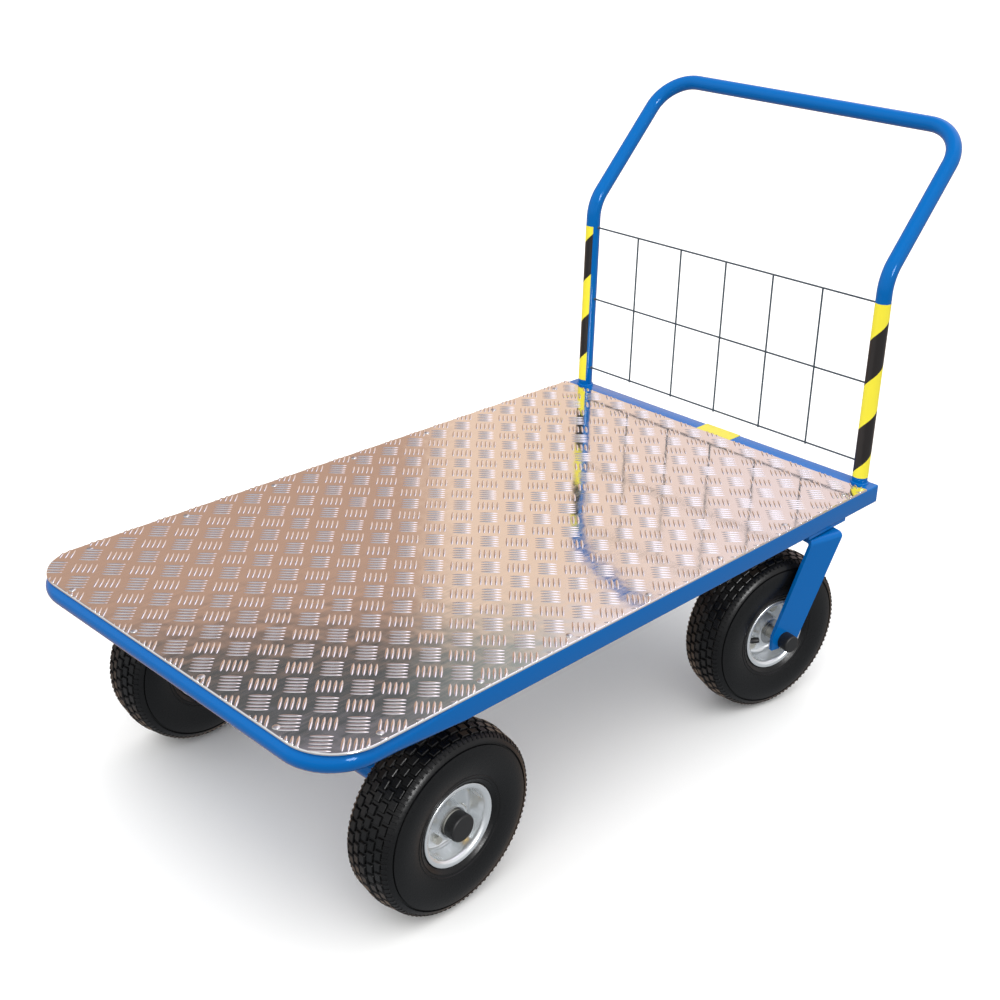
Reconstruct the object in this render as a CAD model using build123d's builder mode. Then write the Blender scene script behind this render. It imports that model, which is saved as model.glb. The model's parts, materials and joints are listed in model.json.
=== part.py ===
from build123d import *
from math import cos, degrees, radians, sin, sqrt
import os

# A platform cart on four pneumatic wheels: a flat deck, a fixed push handle behind it,
# two fixed wheels in front and two swivel casters under the handle.
# Millimetres. +X points forward, away from the handle, +Y to the left, +Z up from the floor.

# Deck and frame
DECK_LENGTH = 1132.0
DECK_WIDTH = 650.0
DECK_HEIGHT = 334.0
PLATE_THICKNESS = 3.0
PLATE_LAP = 5.0
PLATE_INSET = 5.0
FRAME_HEIGHT = 30.0
FRAME_WALL = 2.0
FRAME_BEND_RADIUS = 64.0
TUBE_STUB = 30.0
RAIL_WIDTH = 30.0
REAR_BAR_WIDTH = 40.0
CROSS_MEMBER_WIDTH = 30.0

# Rivets of the deck plate
RIVET_SHANK = 5.0
RIVET_HEAD = 10.0
RIVET_HEAD_HEIGHT = 2.0
RIVET_GRIP = 6.0
RIVET_FROM_FRONT = 94.0
RIVET_FROM_BAR = 41.0
RIVET_FROM_SIDE = 104.0
RIVETS_PER_SIDE = 7
RIVETS_IN_FRONT = 4

# Push handle, mesh and tape
HANDLE_TUBE = 25.0
HANDLE_TUBE_WALL = 2.0
UPRIGHT_INSET = 28.0
HANDLE_BEND_RADIUS = 65.0
UPRIGHT_SETBACK = 7.0
KNEE_HEIGHT = 341.0
LEAN_LENGTH = 276.0
LEAN_ANGLE = 43.5
WIRE = 3.0
WIRE_ROWS = 3
WIRE_ROW_PITCH = 132.0
WIRE_COLUMNS = 5
MESH_FOOT = 35.0
WIRE_SINK = 0.6
TAPE_THICKNESS = 0.3
TAPE_WIDTH = 50.0
TAPE_LENGTH = 290.0
TAPE_FOOT = 11.0
TAPE_START = -43.0

# Blank label on the rear bar
LABEL_LENGTH = 72.0
LABEL_WIDTH = 33.0
LABEL_THICKNESS = 0.5
LABEL_OFFSET = 15.0

# Wheels
TYRE_DIAMETER = 260.0
TYRE_WIDTH = 85.0
TREAD_WIDTH = 70.0
TREAD_DROP = 5.0
TREAD_THICKNESS = 10.0
SIDEWALL_THICKNESS = 6.0
BEAD_WIDTH = 8.0
GROOVE_WIDTH = 3.0
GROOVE_DEPTH = 5.0
GROOVE_PITCH = 15.0
GROOVES = 4
INNER_TUBE_WALL = 2.0
INNER_TUBE_SQUASH = 3.0
RIM_SEAT = 102.0
RIM_FLANGE = 116.0
RIM_WIDTH = 71.0
RIM_THICKNESS = 2.5
RIM_BEND = 7.0
LIP_ROUND = 1.0
HUB_LENGTH = 50.0
HUB_WALL = 3.0
RIM_BOLTS = 4
RIM_BOLT = 8.0
RIM_BOLT_HEAD = 5.5
RIM_NUT = 6.5
RIM_BOLT_CIRCLE = 68.0
RIM_BOLT_PHASE = 45.0
VALVE_STEM = 8.0
VALVE_LENGTH = 26.0
VALVE_OFFSET = 11.0
VALVE_TILT = 35.0

# Sealed ball bearings
BEARING_BORE = 20.0
BEARING_OUTSIDE = 42.0
BEARING_WIDTH = 12.0
RACE_THICKNESS = 2.5
SEAL_THICKNESS = 1.0
SEAL_RECESS = 0.8

# Fixed front axle
AXLE_INSET = 227.0
WHEEL_INSET = 56.0
AXLE_THREAD = 16.0
AXLE_TUBE_WALL = 5.0
SPACER_LENGTH = 30.0
BRACKET_THICKNESS = 8.0
BRACKET_FOOT = 24.0
BRACKET_SPAN = 110.0
WASHER = 36.0
WASHER_THICKNESS = 3.0
AXLE_NUT_HEIGHT = 10.0
THREAD_END = 2.0
HUB_CAP = 38.0
HUB_CAP_WALL = 3.0
HUB_CAP_LENGTH = 16.0

# Swivel casters
KINGPIN_INSET = 139.0
KINGPIN_SIDE_INSET = 46.0
CASTER_TRAIL = 70.0
TYRE_CLEARANCE = 20.0
CASTER_YAW = 12.0
CASTER_PLATE_LENGTH = 100.0
CASTER_PLATE_WIDTH = 90.0
CASTER_PLATE_THICKNESS = 5.0
SWIVEL_GAP = 4.0
BALL = 8.0
BALL_CIRCLE = 44.0
BALLS = 16
FORK_INSIDE = 100.0
FORK_THICKNESS = 6.0
FORK_TOP = 64.0
FORK_END = 50.0
FORK_FOOT = 12.0
FORK_BEND = 3.0
RACE_DIAMETER = 62.0
RACE_PLATE = 5.0
KINGPIN = 14.0
KINGPIN_HEAD = 10.0
KINGPIN_NUT = 11.0
CASTER_BOLT = 12.0
CASTER_NUT = 10.0
AXLE_CAP = 28.0
AXLE_CAP_WALL = 2.5
AXLE_CAP_LENGTH = 18.0

# Fits
RUNNING_FIT = 0.05
SEAT_FIT = 0.02
HOLE_FIT = 0.2
BALL_GAP = 0.3
INNER_TUBE_GAP = 0.3
HEX_PER_THREAD = 1.55

# Places worked out from the sizes above
lean_reach = LEAN_LENGTH * sin(radians(LEAN_ANGLE))
lean_rise = LEAN_LENGTH * cos(radians(LEAN_ANGLE))
upright_from_rear = REAR_BAR_WIDTH / 2 - UPRIGHT_SETBACK
overall_length = DECK_LENGTH + lean_reach + HANDLE_TUBE / 2 - upright_from_rear
front_x = overall_length / 2
rear_x = front_x - DECK_LENGTH
bar_x = rear_x + REAR_BAR_WIDTH / 2
bar_front_x = rear_x + REAR_BAR_WIDTH
upright_x = rear_x + upright_from_rear
top_bar_x = upright_x - lean_reach
frame_top = DECK_HEIGHT - PLATE_THICKNESS
tube_z = frame_top - FRAME_HEIGHT / 2
frame_bottom = frame_top - FRAME_HEIGHT
tube_y = DECK_WIDTH / 2 - FRAME_HEIGHT / 2
tube_x = front_x - FRAME_HEIGHT / 2
rail_end_x = tube_x - FRAME_BEND_RADIUS - TUBE_STUB
rail_y = DECK_WIDTH / 2 - RAIL_WIDTH / 2
rail_inner_y = DECK_WIDTH / 2 - RAIL_WIDTH
upright_y = DECK_WIDTH / 2 - UPRIGHT_INSET
knee_z = frame_top + KNEE_HEIGHT
top_bar_z = knee_z + lean_rise
axle_z = TYRE_DIAMETER / 2
axle_x = front_x - AXLE_INSET
wheel_y = DECK_WIDTH / 2 - WHEEL_INSET
bracket_y = wheel_y - HUB_LENGTH / 2 - SPACER_LENGTH - BRACKET_THICKNESS / 2
kingpin_x = rear_x + KINGPIN_INSET
kingpin_y = DECK_WIDTH / 2 - KINGPIN_SIDE_INSET
bearing_y = HUB_LENGTH / 2 - BEARING_WIDTH / 2
caster_plate_z = frame_bottom - CASTER_PLATE_THICKNESS
fork_z = caster_plate_z - SWIVEL_GAP
fork_bottom_z = fork_z - FORK_THICKNESS
race_z = fork_bottom_z - SWIVEL_GAP
head_z = race_z - RACE_PLATE
tyre_under_race = head_z - TYRE_CLEARANCE - axle_z
clear_trail = RACE_DIAMETER / 2 + sqrt(max(axle_z**2 - tyre_under_race**2, 0))
caster_trail = max(CASTER_TRAIL, clear_trail)
fork_outside = FORK_INSIDE + 2 * FORK_THICKNESS
hub_radius = BEARING_OUTSIDE / 2 + HUB_WALL
seat_radius = RIM_SEAT / 2
rim_half = RIM_WIDTH / 2

os.makedirs("parts", exist_ok=True)


def write(part, name):
    """Write one finished piece under the name of its node."""
    part.label = name
    export_step(part, f"parts/{name}.step")


def place(piece, name, location):
    """Write a copy of a piece that was made about its own axis, set down at a place."""
    with BuildPart() as copy:
        with Locations(location):
            add(piece)
    write(copy.part, name)


def place_pair(piece, name, places):
    """Write a left and a right copy of a piece as one group of separate solids."""
    with BuildPart() as copies:
        with Locations(*places):
            add(piece)
    write(copies.part, name)


def across(x, y, z):
    """A plane at a point, facing along +Y."""
    return Plane(origin=(x, y, z), x_dir=(1, 0, 0), z_dir=(0, 1, 0))


def hexagon(thread):
    """The six-sided outline of the head or nut that goes with a thread."""
    RegularPolygon(thread * HEX_PER_THREAD / 2, 6, major_radius=False)


# Rivet places: along both rails and on the crown of the front tube
side_start = bar_front_x + RIVET_FROM_BAR
side_end = front_x - RIVET_FROM_FRONT
side_pitch = (side_end - side_start) / (RIVETS_PER_SIDE - 1)
front_start = RIVET_FROM_SIDE - DECK_WIDTH / 2
front_pitch = -2 * front_start / (RIVETS_IN_FRONT - 1)
rivet_points = []
for row in range(RIVETS_PER_SIDE):
    for side in (-1, 1):
        rivet_points.append((side_start + row * side_pitch, side * tube_y))
for column in range(RIVETS_IN_FRONT):
    rivet_points.append((tube_x, front_start + column * front_pitch))

# Front tube: a round tube bent round the front corners, with a short stub behind each bend
rivet_tops = [(x, y, frame_top) for x, y in rivet_points]
with BuildPart() as front_tube:
    with BuildLine() as front_path:
        FilletPolyline(
            (rail_end_x, -tube_y, tube_z),
            (tube_x, -tube_y, tube_z),
            (tube_x, tube_y, tube_z),
            (rail_end_x, tube_y, tube_z),
            radius=FRAME_BEND_RADIUS,
        )
    with BuildSketch(Plane(origin=front_path.line @ 0, z_dir=front_path.line % 0)):
        Circle(FRAME_HEIGHT / 2)
        Circle(FRAME_HEIGHT / 2 - FRAME_WALL, mode=Mode.SUBTRACT)
    sweep(path=front_path.line)
    with Locations(*rivet_tops):
        Cylinder(RIVET_SHANK / 2 + SEAT_FIT, FRAME_HEIGHT, mode=Mode.SUBTRACT)
write(front_tube.part, "front_tube")

# Side rails: square tubes closed at both ends, flush with the stubs of the front tube
for side_name, side in (("left", 1), ("right", -1)):
    with BuildPart() as side_rail:
        with BuildSketch(Plane.YZ.offset(rear_x)):
            with Locations((side * rail_y, tube_z)):
                Rectangle(RAIL_WIDTH, FRAME_HEIGHT)
        extrude(amount=rail_end_x - rear_x)
        with BuildSketch(Plane.YZ.offset(rear_x + FRAME_WALL)):
            with Locations((side * rail_y, tube_z)):
                Rectangle(RAIL_WIDTH - 2 * FRAME_WALL, FRAME_HEIGHT - 2 * FRAME_WALL)
        extrude(amount=rail_end_x - rear_x - 2 * FRAME_WALL, mode=Mode.SUBTRACT)
        with Locations(*rivet_tops):
            Cylinder(RIVET_SHANK / 2 + SEAT_FIT, FRAME_HEIGHT, mode=Mode.SUBTRACT)
    write(side_rail.part, f"side_rail_{side_name}")

# Rear bar: rectangular tube between the rails, under the handle
with BuildPart() as rear_bar:
    with BuildSketch(across(bar_x, -rail_inner_y, tube_z)):
        Rectangle(REAR_BAR_WIDTH, FRAME_HEIGHT)
        offset(amount=-FRAME_WALL, mode=Mode.SUBTRACT)
    extrude(amount=2 * rail_inner_y)
write(rear_bar.part, "rear_bar")

# Cross members: tubes between the rails
caster_member_shift = (CASTER_PLATE_LENGTH - CROSS_MEMBER_WIDTH) / 2
axle_member_shift = (BRACKET_SPAN - CROSS_MEMBER_WIDTH) / 2
cross_member_places = {
    "rear_cross_member": kingpin_x - caster_member_shift,
    "caster_cross_member": kingpin_x + caster_member_shift,
    "middle_cross_member": (kingpin_x + axle_x) / 2,
    "axle_cross_member_rear": axle_x - axle_member_shift,
    "axle_cross_member_front": axle_x + axle_member_shift,
}
for member_name, member_x in cross_member_places.items():
    with BuildPart() as cross_member:
        with BuildSketch(across(member_x, -rail_inner_y, tube_z)):
            Rectangle(CROSS_MEMBER_WIDTH, FRAME_HEIGHT)
            offset(amount=-FRAME_WALL, mode=Mode.SUBTRACT)
        extrude(amount=2 * rail_inner_y)
    write(cross_member.part, member_name)

# Deck plate: flush with the rails, just inside the front tube, and lapping on the rear bar
plate_rear_x = bar_front_x - PLATE_LAP
with BuildPart() as deck_plate:
    with BuildSketch(Plane.XY.offset(frame_top)):
        with Locations((plate_rear_x, 0)):
            Rectangle(front_x - PLATE_INSET - plate_rear_x, DECK_WIDTH, align=(Align.MIN, Align.CENTER))
        front_corners = vertices().group_by(Axis.X)[-1]
        fillet(front_corners, radius=FRAME_BEND_RADIUS + FRAME_HEIGHT / 2 - PLATE_INSET)
    extrude(amount=PLATE_THICKNESS)
    with Locations(*[(x, y, DECK_HEIGHT) for x, y in rivet_points]):
        CounterBoreHole(
            RIVET_SHANK / 2 + SEAT_FIT,
            RIVET_HEAD / 2 + SEAT_FIT,
            RIVET_HEAD_HEIGHT,
        )
write(deck_plate.part, "deck_plate")

# Rivets: heads let into the plate, flush with its top
with BuildPart() as deck_rivets:
    with BuildSketch(Plane.XY.offset(DECK_HEIGHT)):
        with Locations(*rivet_points):
            Circle(RIVET_HEAD / 2)
    extrude(amount=-RIVET_HEAD_HEIGHT)
    with BuildSketch(Plane.XY.offset(DECK_HEIGHT - RIVET_HEAD_HEIGHT)):
        with Locations(*rivet_points):
            Circle(RIVET_SHANK / 2)
    extrude(amount=-RIVET_GRIP)
write(deck_rivets.part, "deck_rivets")

# Push handle: uprights on the rear bar, knees, and a leaning top with its bar
with BuildPart() as handle_tube:
    with BuildLine() as handle_path:
        FilletPolyline(
            (upright_x, -upright_y, frame_top),
            (upright_x, -upright_y, knee_z),
            (top_bar_x, -upright_y, top_bar_z),
            (top_bar_x, upright_y, top_bar_z),
            (upright_x, upright_y, knee_z),
            (upright_x, upright_y, frame_top),
            radius=HANDLE_BEND_RADIUS,
        )
    with BuildSketch(Plane(origin=handle_path.line @ 0, z_dir=handle_path.line % 0)):
        Circle(HANDLE_TUBE / 2)
        Circle(HANDLE_TUBE / 2 - HANDLE_TUBE_WALL, mode=Mode.SUBTRACT)
    sweep(path=handle_path.line)
write(handle_tube.part, "handle_tube")

# Mesh panel: rows of wire from upright to upright, columns welded on in front of them
mesh_span = 2 * upright_y - HANDLE_TUBE
mesh_height = (WIRE_ROWS - 1) * WIRE_ROW_PITCH
column_pitch = mesh_span / (WIRE_COLUMNS + 1)
mesh_z = frame_top + MESH_FOOT + mesh_height / 2
with BuildPart() as mesh_panel:
    with BuildSketch(Plane.XY.offset(mesh_z - mesh_height / 2 - WIRE / 2)):
        with Locations((upright_x + WIRE - WIRE_SINK, 0)):
            with GridLocations(WIRE, column_pitch, 1, WIRE_COLUMNS):
                Circle(WIRE / 2)
    extrude(amount=mesh_height + WIRE)
    for wire_fit, mode in ((SEAT_FIT, Mode.SUBTRACT), (0, Mode.ADD)):
        with BuildSketch(across(upright_x, -mesh_span / 2, mesh_z)):
            with GridLocations(WIRE, WIRE_ROW_PITCH, 1, WIRE_ROWS):
                Circle(WIRE / 2 + wire_fit)
        extrude(amount=mesh_span, mode=mode)
write(mesh_panel.part, "mesh_panel")

# Hazard tape: one strip along the outer and front side of each upright
tape_radius = HANDLE_TUBE / 2 + SEAT_FIT
tape_arc = degrees(TAPE_WIDTH / tape_radius)
with BuildPart() as hazard_tapes:
    for side in (-1, 1):
        edge = radians(side * TAPE_START)
        upright = (upright_x, side * upright_y, frame_top + TAPE_FOOT)
        with BuildSketch(Plane(upright, x_dir=(cos(edge), sin(edge), 0), z_dir=(sin(edge), -cos(edge), 0))):
            with Locations((tape_radius, 0)):
                Rectangle(TAPE_THICKNESS, TAPE_LENGTH, align=(Align.MIN, Align.MIN))
        revolve(axis=Axis(upright, (0, 0, side)), revolution_arc=tape_arc)
write(hazard_tapes.part, "hazard_tapes")

with BuildPart() as blank_label:
    with BuildSketch(Plane.XY.offset(frame_top)):
        with Locations((bar_x - REAR_BAR_WIDTH / 2 + LABEL_WIDTH / 2, LABEL_OFFSET)):
            Rectangle(LABEL_WIDTH, LABEL_LENGTH)
    extrude(amount=LABEL_THICKNESS)
write(blank_label.part, "blank_label")

# Front axle: a shaft with threaded ends, inside a tube between two brackets
shoulder_y = wheel_y + HUB_LENGTH / 2
thread_y = shoulder_y + WASHER_THICKNESS + AXLE_NUT_HEIGHT + THREAD_END
with BuildPart() as front_axle:
    with BuildSketch(across(axle_x, 0, axle_z)):
        Circle(BEARING_BORE / 2)
    extrude(amount=shoulder_y, both=True)
    with BuildSketch(across(axle_x, 0, axle_z)):
        Circle(AXLE_THREAD / 2)
    extrude(amount=thread_y, both=True)
write(front_axle.part, "front_axle")

with BuildPart() as axle_tube:
    with BuildSketch(across(axle_x, 0, axle_z)):
        Circle(BEARING_BORE / 2 + AXLE_TUBE_WALL)
        Circle(BEARING_BORE / 2 + SEAT_FIT, mode=Mode.SUBTRACT)
    extrude(amount=bracket_y - BRACKET_THICKNESS / 2, both=True)
write(axle_tube.part, "axle_tube")

for side_name, side in (("left", 1), ("right", -1)):
    with BuildPart() as axle_bracket:
        with BuildSketch(Plane.XZ.offset(-side * bracket_y)):
            with Locations((axle_x, axle_z)):
                Circle(BRACKET_FOOT)
            with Locations((axle_x, frame_bottom)):
                Rectangle(BRACKET_SPAN, BRACKET_FOOT, align=(Align.CENTER, Align.MAX))
            make_hull()
            with Locations((axle_x, axle_z)):
                Circle(BEARING_BORE / 2 + SEAT_FIT, mode=Mode.SUBTRACT)
        extrude(amount=BRACKET_THICKNESS / 2, both=True)
    write(axle_bracket.part, f"axle_bracket_{side_name}")

# Pieces on the front axle, made about a wheel's middle with +Y outward
front_places = [
    Location((axle_x, wheel_y, axle_z), (0, 0, 0)),
    Location((axle_x, -wheel_y, axle_z), (0, 0, 180)),
]
with BuildPart() as axle_spacer:
    with BuildSketch(across(0, -HUB_LENGTH / 2, 0)):
        Circle(BEARING_BORE / 2 + RACE_THICKNESS)
        Circle(BEARING_BORE / 2 + SEAT_FIT, mode=Mode.SUBTRACT)
    extrude(amount=-SPACER_LENGTH)
place_pair(axle_spacer.part, "axle_spacers", front_places)

with BuildPart() as axle_fastener:
    with BuildSketch(across(0, HUB_LENGTH / 2, 0)):
        Circle(WASHER / 2)
        Circle(AXLE_THREAD / 2 + HOLE_FIT, mode=Mode.SUBTRACT)
    extrude(amount=WASHER_THICKNESS)
    with BuildSketch(across(0, HUB_LENGTH / 2 + WASHER_THICKNESS + SEAT_FIT, 0)):
        hexagon(AXLE_THREAD)
        Circle(AXLE_THREAD / 2 + SEAT_FIT, mode=Mode.SUBTRACT)
    extrude(amount=AXLE_NUT_HEIGHT)
place_pair(axle_fastener.part, "axle_fasteners", front_places)

with BuildPart() as hub_cap:
    with BuildSketch(across(0, HUB_LENGTH / 2 + WASHER_THICKNESS, 0)):
        Circle(HUB_CAP / 2)
    extrude(amount=HUB_CAP_LENGTH)
    fillet(edges().group_by(Axis.Y)[-1], radius=HUB_CAP_WALL)
    with BuildSketch(across(0, HUB_LENGTH / 2 + WASHER_THICKNESS, 0)):
        Circle(HUB_CAP / 2 - HUB_CAP_WALL)
    extrude(amount=HUB_CAP_LENGTH - HUB_CAP_WALL, mode=Mode.SUBTRACT)
place_pair(hub_cap.part, "hub_caps", front_places)

# Caster head pieces that stay with the frame, made about the kingpin's axis at floor height
kingpin_places = [
    Location((kingpin_x, kingpin_y, 0), (0, 0, 0)),
    Location((kingpin_x, -kingpin_y, 0), (0, 0, 180)),
]
upper_ball_z = fork_z + SWIVEL_GAP / 2
lower_ball_z = race_z + SWIVEL_GAP / 2
with BuildPart() as caster_plate:
    with BuildSketch(Plane.XY.offset(caster_plate_z)):
        Rectangle(CASTER_PLATE_LENGTH, CASTER_PLATE_WIDTH)
        Circle(KINGPIN / 2 + SEAT_FIT, mode=Mode.SUBTRACT)
    extrude(amount=CASTER_PLATE_THICKNESS)
    with Locations((0, 0, upper_ball_z)):
        Torus(BALL_CIRCLE / 2, BALL / 2 + BALL_GAP, mode=Mode.SUBTRACT)
place_pair(caster_plate.part, "caster_plates", kingpin_places)

with BuildPart() as lower_race:
    with BuildSketch(Plane.XY.offset(head_z)):
        Circle(RACE_DIAMETER / 2)
        Circle(KINGPIN / 2 + SEAT_FIT, mode=Mode.SUBTRACT)
    extrude(amount=RACE_PLATE)
    with Locations((0, 0, lower_ball_z)):
        Torus(BALL_CIRCLE / 2, BALL / 2 + BALL_GAP, mode=Mode.SUBTRACT)
place_pair(lower_race.part, "lower_races", kingpin_places)

kingpin_top_z = frame_bottom + KINGPIN_NUT + THREAD_END
with BuildPart() as kingpin:
    with BuildSketch(Plane.XY.offset(head_z - KINGPIN_HEAD)):
        hexagon(KINGPIN)
    extrude(amount=KINGPIN_HEAD)
    with BuildSketch(Plane.XY.offset(head_z)):
        Circle(KINGPIN / 2)
    extrude(amount=kingpin_top_z - head_z)
place_pair(kingpin.part, "kingpins", kingpin_places)

with BuildPart() as kingpin_nut:
    with BuildSketch(Plane.XY.offset(frame_bottom)):
        hexagon(KINGPIN)
        Circle(KINGPIN / 2 + SEAT_FIT, mode=Mode.SUBTRACT)
    extrude(amount=KINGPIN_NUT)
place_pair(kingpin_nut.part, "kingpin_nuts", kingpin_places)

# Fork: one steel strip bent to a U over the wheel, its legs slanting forward to the axle
with BuildPart() as fork:
    with BuildSketch(Plane.YZ):
        Rectangle(fork_outside, fork_z, align=(Align.CENTER, Align.MIN))
        fillet(vertices().group_by(Axis.Y)[-1], radius=FORK_BEND + FORK_THICKNESS)
    extrude(amount=TYRE_DIAMETER, both=True)
    with BuildSketch(Plane.YZ):
        Rectangle(FORK_INSIDE, fork_bottom_z, align=(Align.CENTER, Align.MIN))
        fillet(vertices().group_by(Axis.Y)[-1], radius=FORK_BEND)
    extrude(amount=TYRE_DIAMETER, both=True, mode=Mode.SUBTRACT)
    with BuildSketch(Plane.XZ):
        with Locations((caster_trail, axle_z)):
            Rectangle(FORK_END, 2 * FORK_FOOT)
        with Locations((0, fork_z)):
            Rectangle(FORK_TOP, FORK_THICKNESS, align=(Align.CENTER, Align.MAX))
        make_hull()
    extrude(amount=fork_outside, both=True, mode=Mode.INTERSECT)
    with Locations((0, 0, fork_z)):
        Cylinder(KINGPIN / 2 + RUNNING_FIT, 3 * FORK_THICKNESS, mode=Mode.SUBTRACT)
    with Locations((caster_trail, 0, axle_z)):
        Cylinder(CASTER_BOLT / 2 + SEAT_FIT, 2 * fork_outside, rotation=(90, 0, 0), mode=Mode.SUBTRACT)
    with Locations((0, 0, upper_ball_z), (0, 0, lower_ball_z)):
        Torus(BALL_CIRCLE / 2, BALL / 2 + SEAT_FIT, mode=Mode.SUBTRACT)

# Swivel balls: one ring above the fork's top and one below it
with BuildPart() as swivel_balls:
    for ball_z in (upper_ball_z, lower_ball_z):
        with Locations((0, 0, ball_z)):
            with PolarLocations(BALL_CIRCLE / 2, BALLS):
                Sphere(BALL / 2)

# Axle of a caster, made about the wheel's middle: sleeve, bolt with nut, caps
with BuildPart() as axle_sleeve:
    with BuildSketch(across(0, 0, 0)):
        Circle(BEARING_BORE / 2)
        Circle(CASTER_BOLT / 2 + SEAT_FIT, mode=Mode.SUBTRACT)
    extrude(amount=FORK_INSIDE / 2, both=True)

with BuildPart() as caster_fasteners:
    with BuildSketch(across(0, -fork_outside / 2, 0)):
        hexagon(CASTER_BOLT)
    extrude(amount=-CASTER_NUT)
    with BuildSketch(across(0, -fork_outside / 2, 0)):
        Circle(CASTER_BOLT / 2)
    extrude(amount=fork_outside + CASTER_NUT + THREAD_END)
    with BuildSketch(across(0, fork_outside / 2, 0)):
        hexagon(CASTER_BOLT)
        Circle(CASTER_BOLT / 2 + SEAT_FIT, mode=Mode.SUBTRACT)
    extrude(amount=CASTER_NUT)

with BuildPart() as axle_caps:
    with BuildSketch(across(0, fork_outside / 2, 0)):
        Circle(AXLE_CAP / 2)
    extrude(amount=AXLE_CAP_LENGTH)
    fillet(edges().group_by(Axis.Y)[-1], radius=AXLE_CAP_WALL)
    with BuildSketch(across(0, fork_outside / 2, 0)):
        Circle(AXLE_CAP / 2 - AXLE_CAP_WALL)
    extrude(amount=AXLE_CAP_LENGTH - AXLE_CAP_WALL, mode=Mode.SUBTRACT)
    mirror(about=Plane.XZ)

# Tyre: hollow carcass on its beads, with the main grooves round the tread
tread_radius = TYRE_DIAMETER / 2
inner_radius = tread_radius - TREAD_THICKNESS
flange_radius = RIM_FLANGE / 2
flange_y = rim_half - RIM_THICKNESS - SEAT_FIT
bead_radius = seat_radius + SEAT_FIT
wall_radius = (tread_radius + flange_radius) / 2
wall_y = TYRE_WIDTH / 2
bead_y = flange_y - BEAD_WIDTH
heel = RIM_BEND - RIM_THICKNESS
with BuildPart() as tyre:
    with BuildSketch(Plane.XY):
        with BuildLine():
            Polyline(
                (inner_radius, 0),
                (tread_radius, 0),
                (tread_radius - TREAD_DROP, TREAD_WIDTH / 2),
            )
            ThreePointArc(
                (tread_radius - TREAD_DROP, TREAD_WIDTH / 2),
                (wall_radius, wall_y),
                (flange_radius + RIM_THICKNESS, rim_half),
            )
            Polyline(
                (flange_radius + RIM_THICKNESS, rim_half),
                (flange_radius, flange_y),
                (bead_radius + heel, flange_y),
                (bead_radius, flange_y - heel),
                (bead_radius, bead_y),
                (flange_radius, bead_y),
            )
            ThreePointArc(
                (flange_radius, bead_y),
                (wall_radius, wall_y - SIDEWALL_THICKNESS),
                (inner_radius, TREAD_WIDTH / 2 - SIDEWALL_THICKNESS),
            )
            Line((inner_radius, TREAD_WIDTH / 2 - SIDEWALL_THICKNESS), (inner_radius, 0))
        make_face()
        mirror(about=Plane.XZ)
    revolve(axis=Axis.Y)
    with BuildSketch(Plane.XY):
        with Locations((tread_radius, 0)):
            with GridLocations(1, GROOVE_PITCH, 1, GROOVES):
                Rectangle(2 * GROOVE_DEPTH, GROOVE_WIDTH)
    revolve(axis=Axis.Y, mode=Mode.SUBTRACT)

# Inner tube: hollow ring in the tyre, with its valve stem through the outer rim half
ring_middle = (seat_radius + inner_radius) / 2
ring_height = (inner_radius - seat_radius) / 2 - INNER_TUBE_GAP
ring_width = ring_height - INNER_TUBE_SQUASH
valve_direction = (-cos(radians(VALVE_TILT)), sin(radians(VALVE_TILT)), 0)
valve_plane = Plane(origin=(seat_radius + INNER_TUBE_WALL, VALVE_OFFSET, 0), z_dir=valve_direction)
with BuildPart() as inner_tube:
    with BuildSketch(Plane.XY):
        with Locations((ring_middle, 0)):
            Ellipse(ring_height, ring_width)
            Ellipse(ring_height - INNER_TUBE_WALL, ring_width - INNER_TUBE_WALL, mode=Mode.SUBTRACT)
    revolve(axis=Axis.Y)
    with BuildSketch(valve_plane):
        Circle(VALVE_STEM / 2)
    extrude(amount=VALVE_LENGTH)

# Rim halves: pressed dishes bolted together on the wheel's middle plane
with BuildPart() as rim_inner:
    with BuildSketch(Plane.XY):
        with BuildLine():
            FilletPolyline(
                (hub_radius, -RIM_THICKNESS),
                (seat_radius - RIM_THICKNESS, -RIM_THICKNESS),
                (seat_radius - RIM_THICKNESS, -rim_half),
                (flange_radius, -rim_half),
                radius=RIM_BEND,
            )
            Line((flange_radius, -rim_half), (flange_radius, RIM_THICKNESS - rim_half))
            FilletPolyline(
                (flange_radius, RIM_THICKNESS - rim_half),
                (seat_radius, RIM_THICKNESS - rim_half),
                (seat_radius, 0),
                (hub_radius, 0),
                radius=heel,
            )
            Line((hub_radius, 0), (hub_radius, -RIM_THICKNESS))
        make_face()
    revolve(axis=Axis.Y)
    fillet(edges().filter_by(GeomType.CIRCLE).sort_by(SortBy.RADIUS)[-2:], radius=LIP_ROUND)
    with BuildSketch(across(0, 0, 0)):
        with PolarLocations(RIM_BOLT_CIRCLE / 2, RIM_BOLTS, start_angle=RIM_BOLT_PHASE):
            Circle(RIM_BOLT / 2 + HOLE_FIT)
    extrude(amount=rim_half, both=True, mode=Mode.SUBTRACT)

with BuildPart() as rim_outer:
    add(rim_inner.part)
    mirror(about=Plane.XZ, mode=Mode.REPLACE)
    with BuildSketch(across(0, 0, 0)):
        Circle(hub_radius)
        Circle(BEARING_OUTSIDE / 2 + SEAT_FIT, mode=Mode.SUBTRACT)
    extrude(amount=HUB_LENGTH / 2, both=True)
    with BuildSketch(valve_plane):
        Circle(VALVE_STEM / 2 + HOLE_FIT)
    extrude(amount=VALVE_LENGTH, mode=Mode.SUBTRACT)

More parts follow.
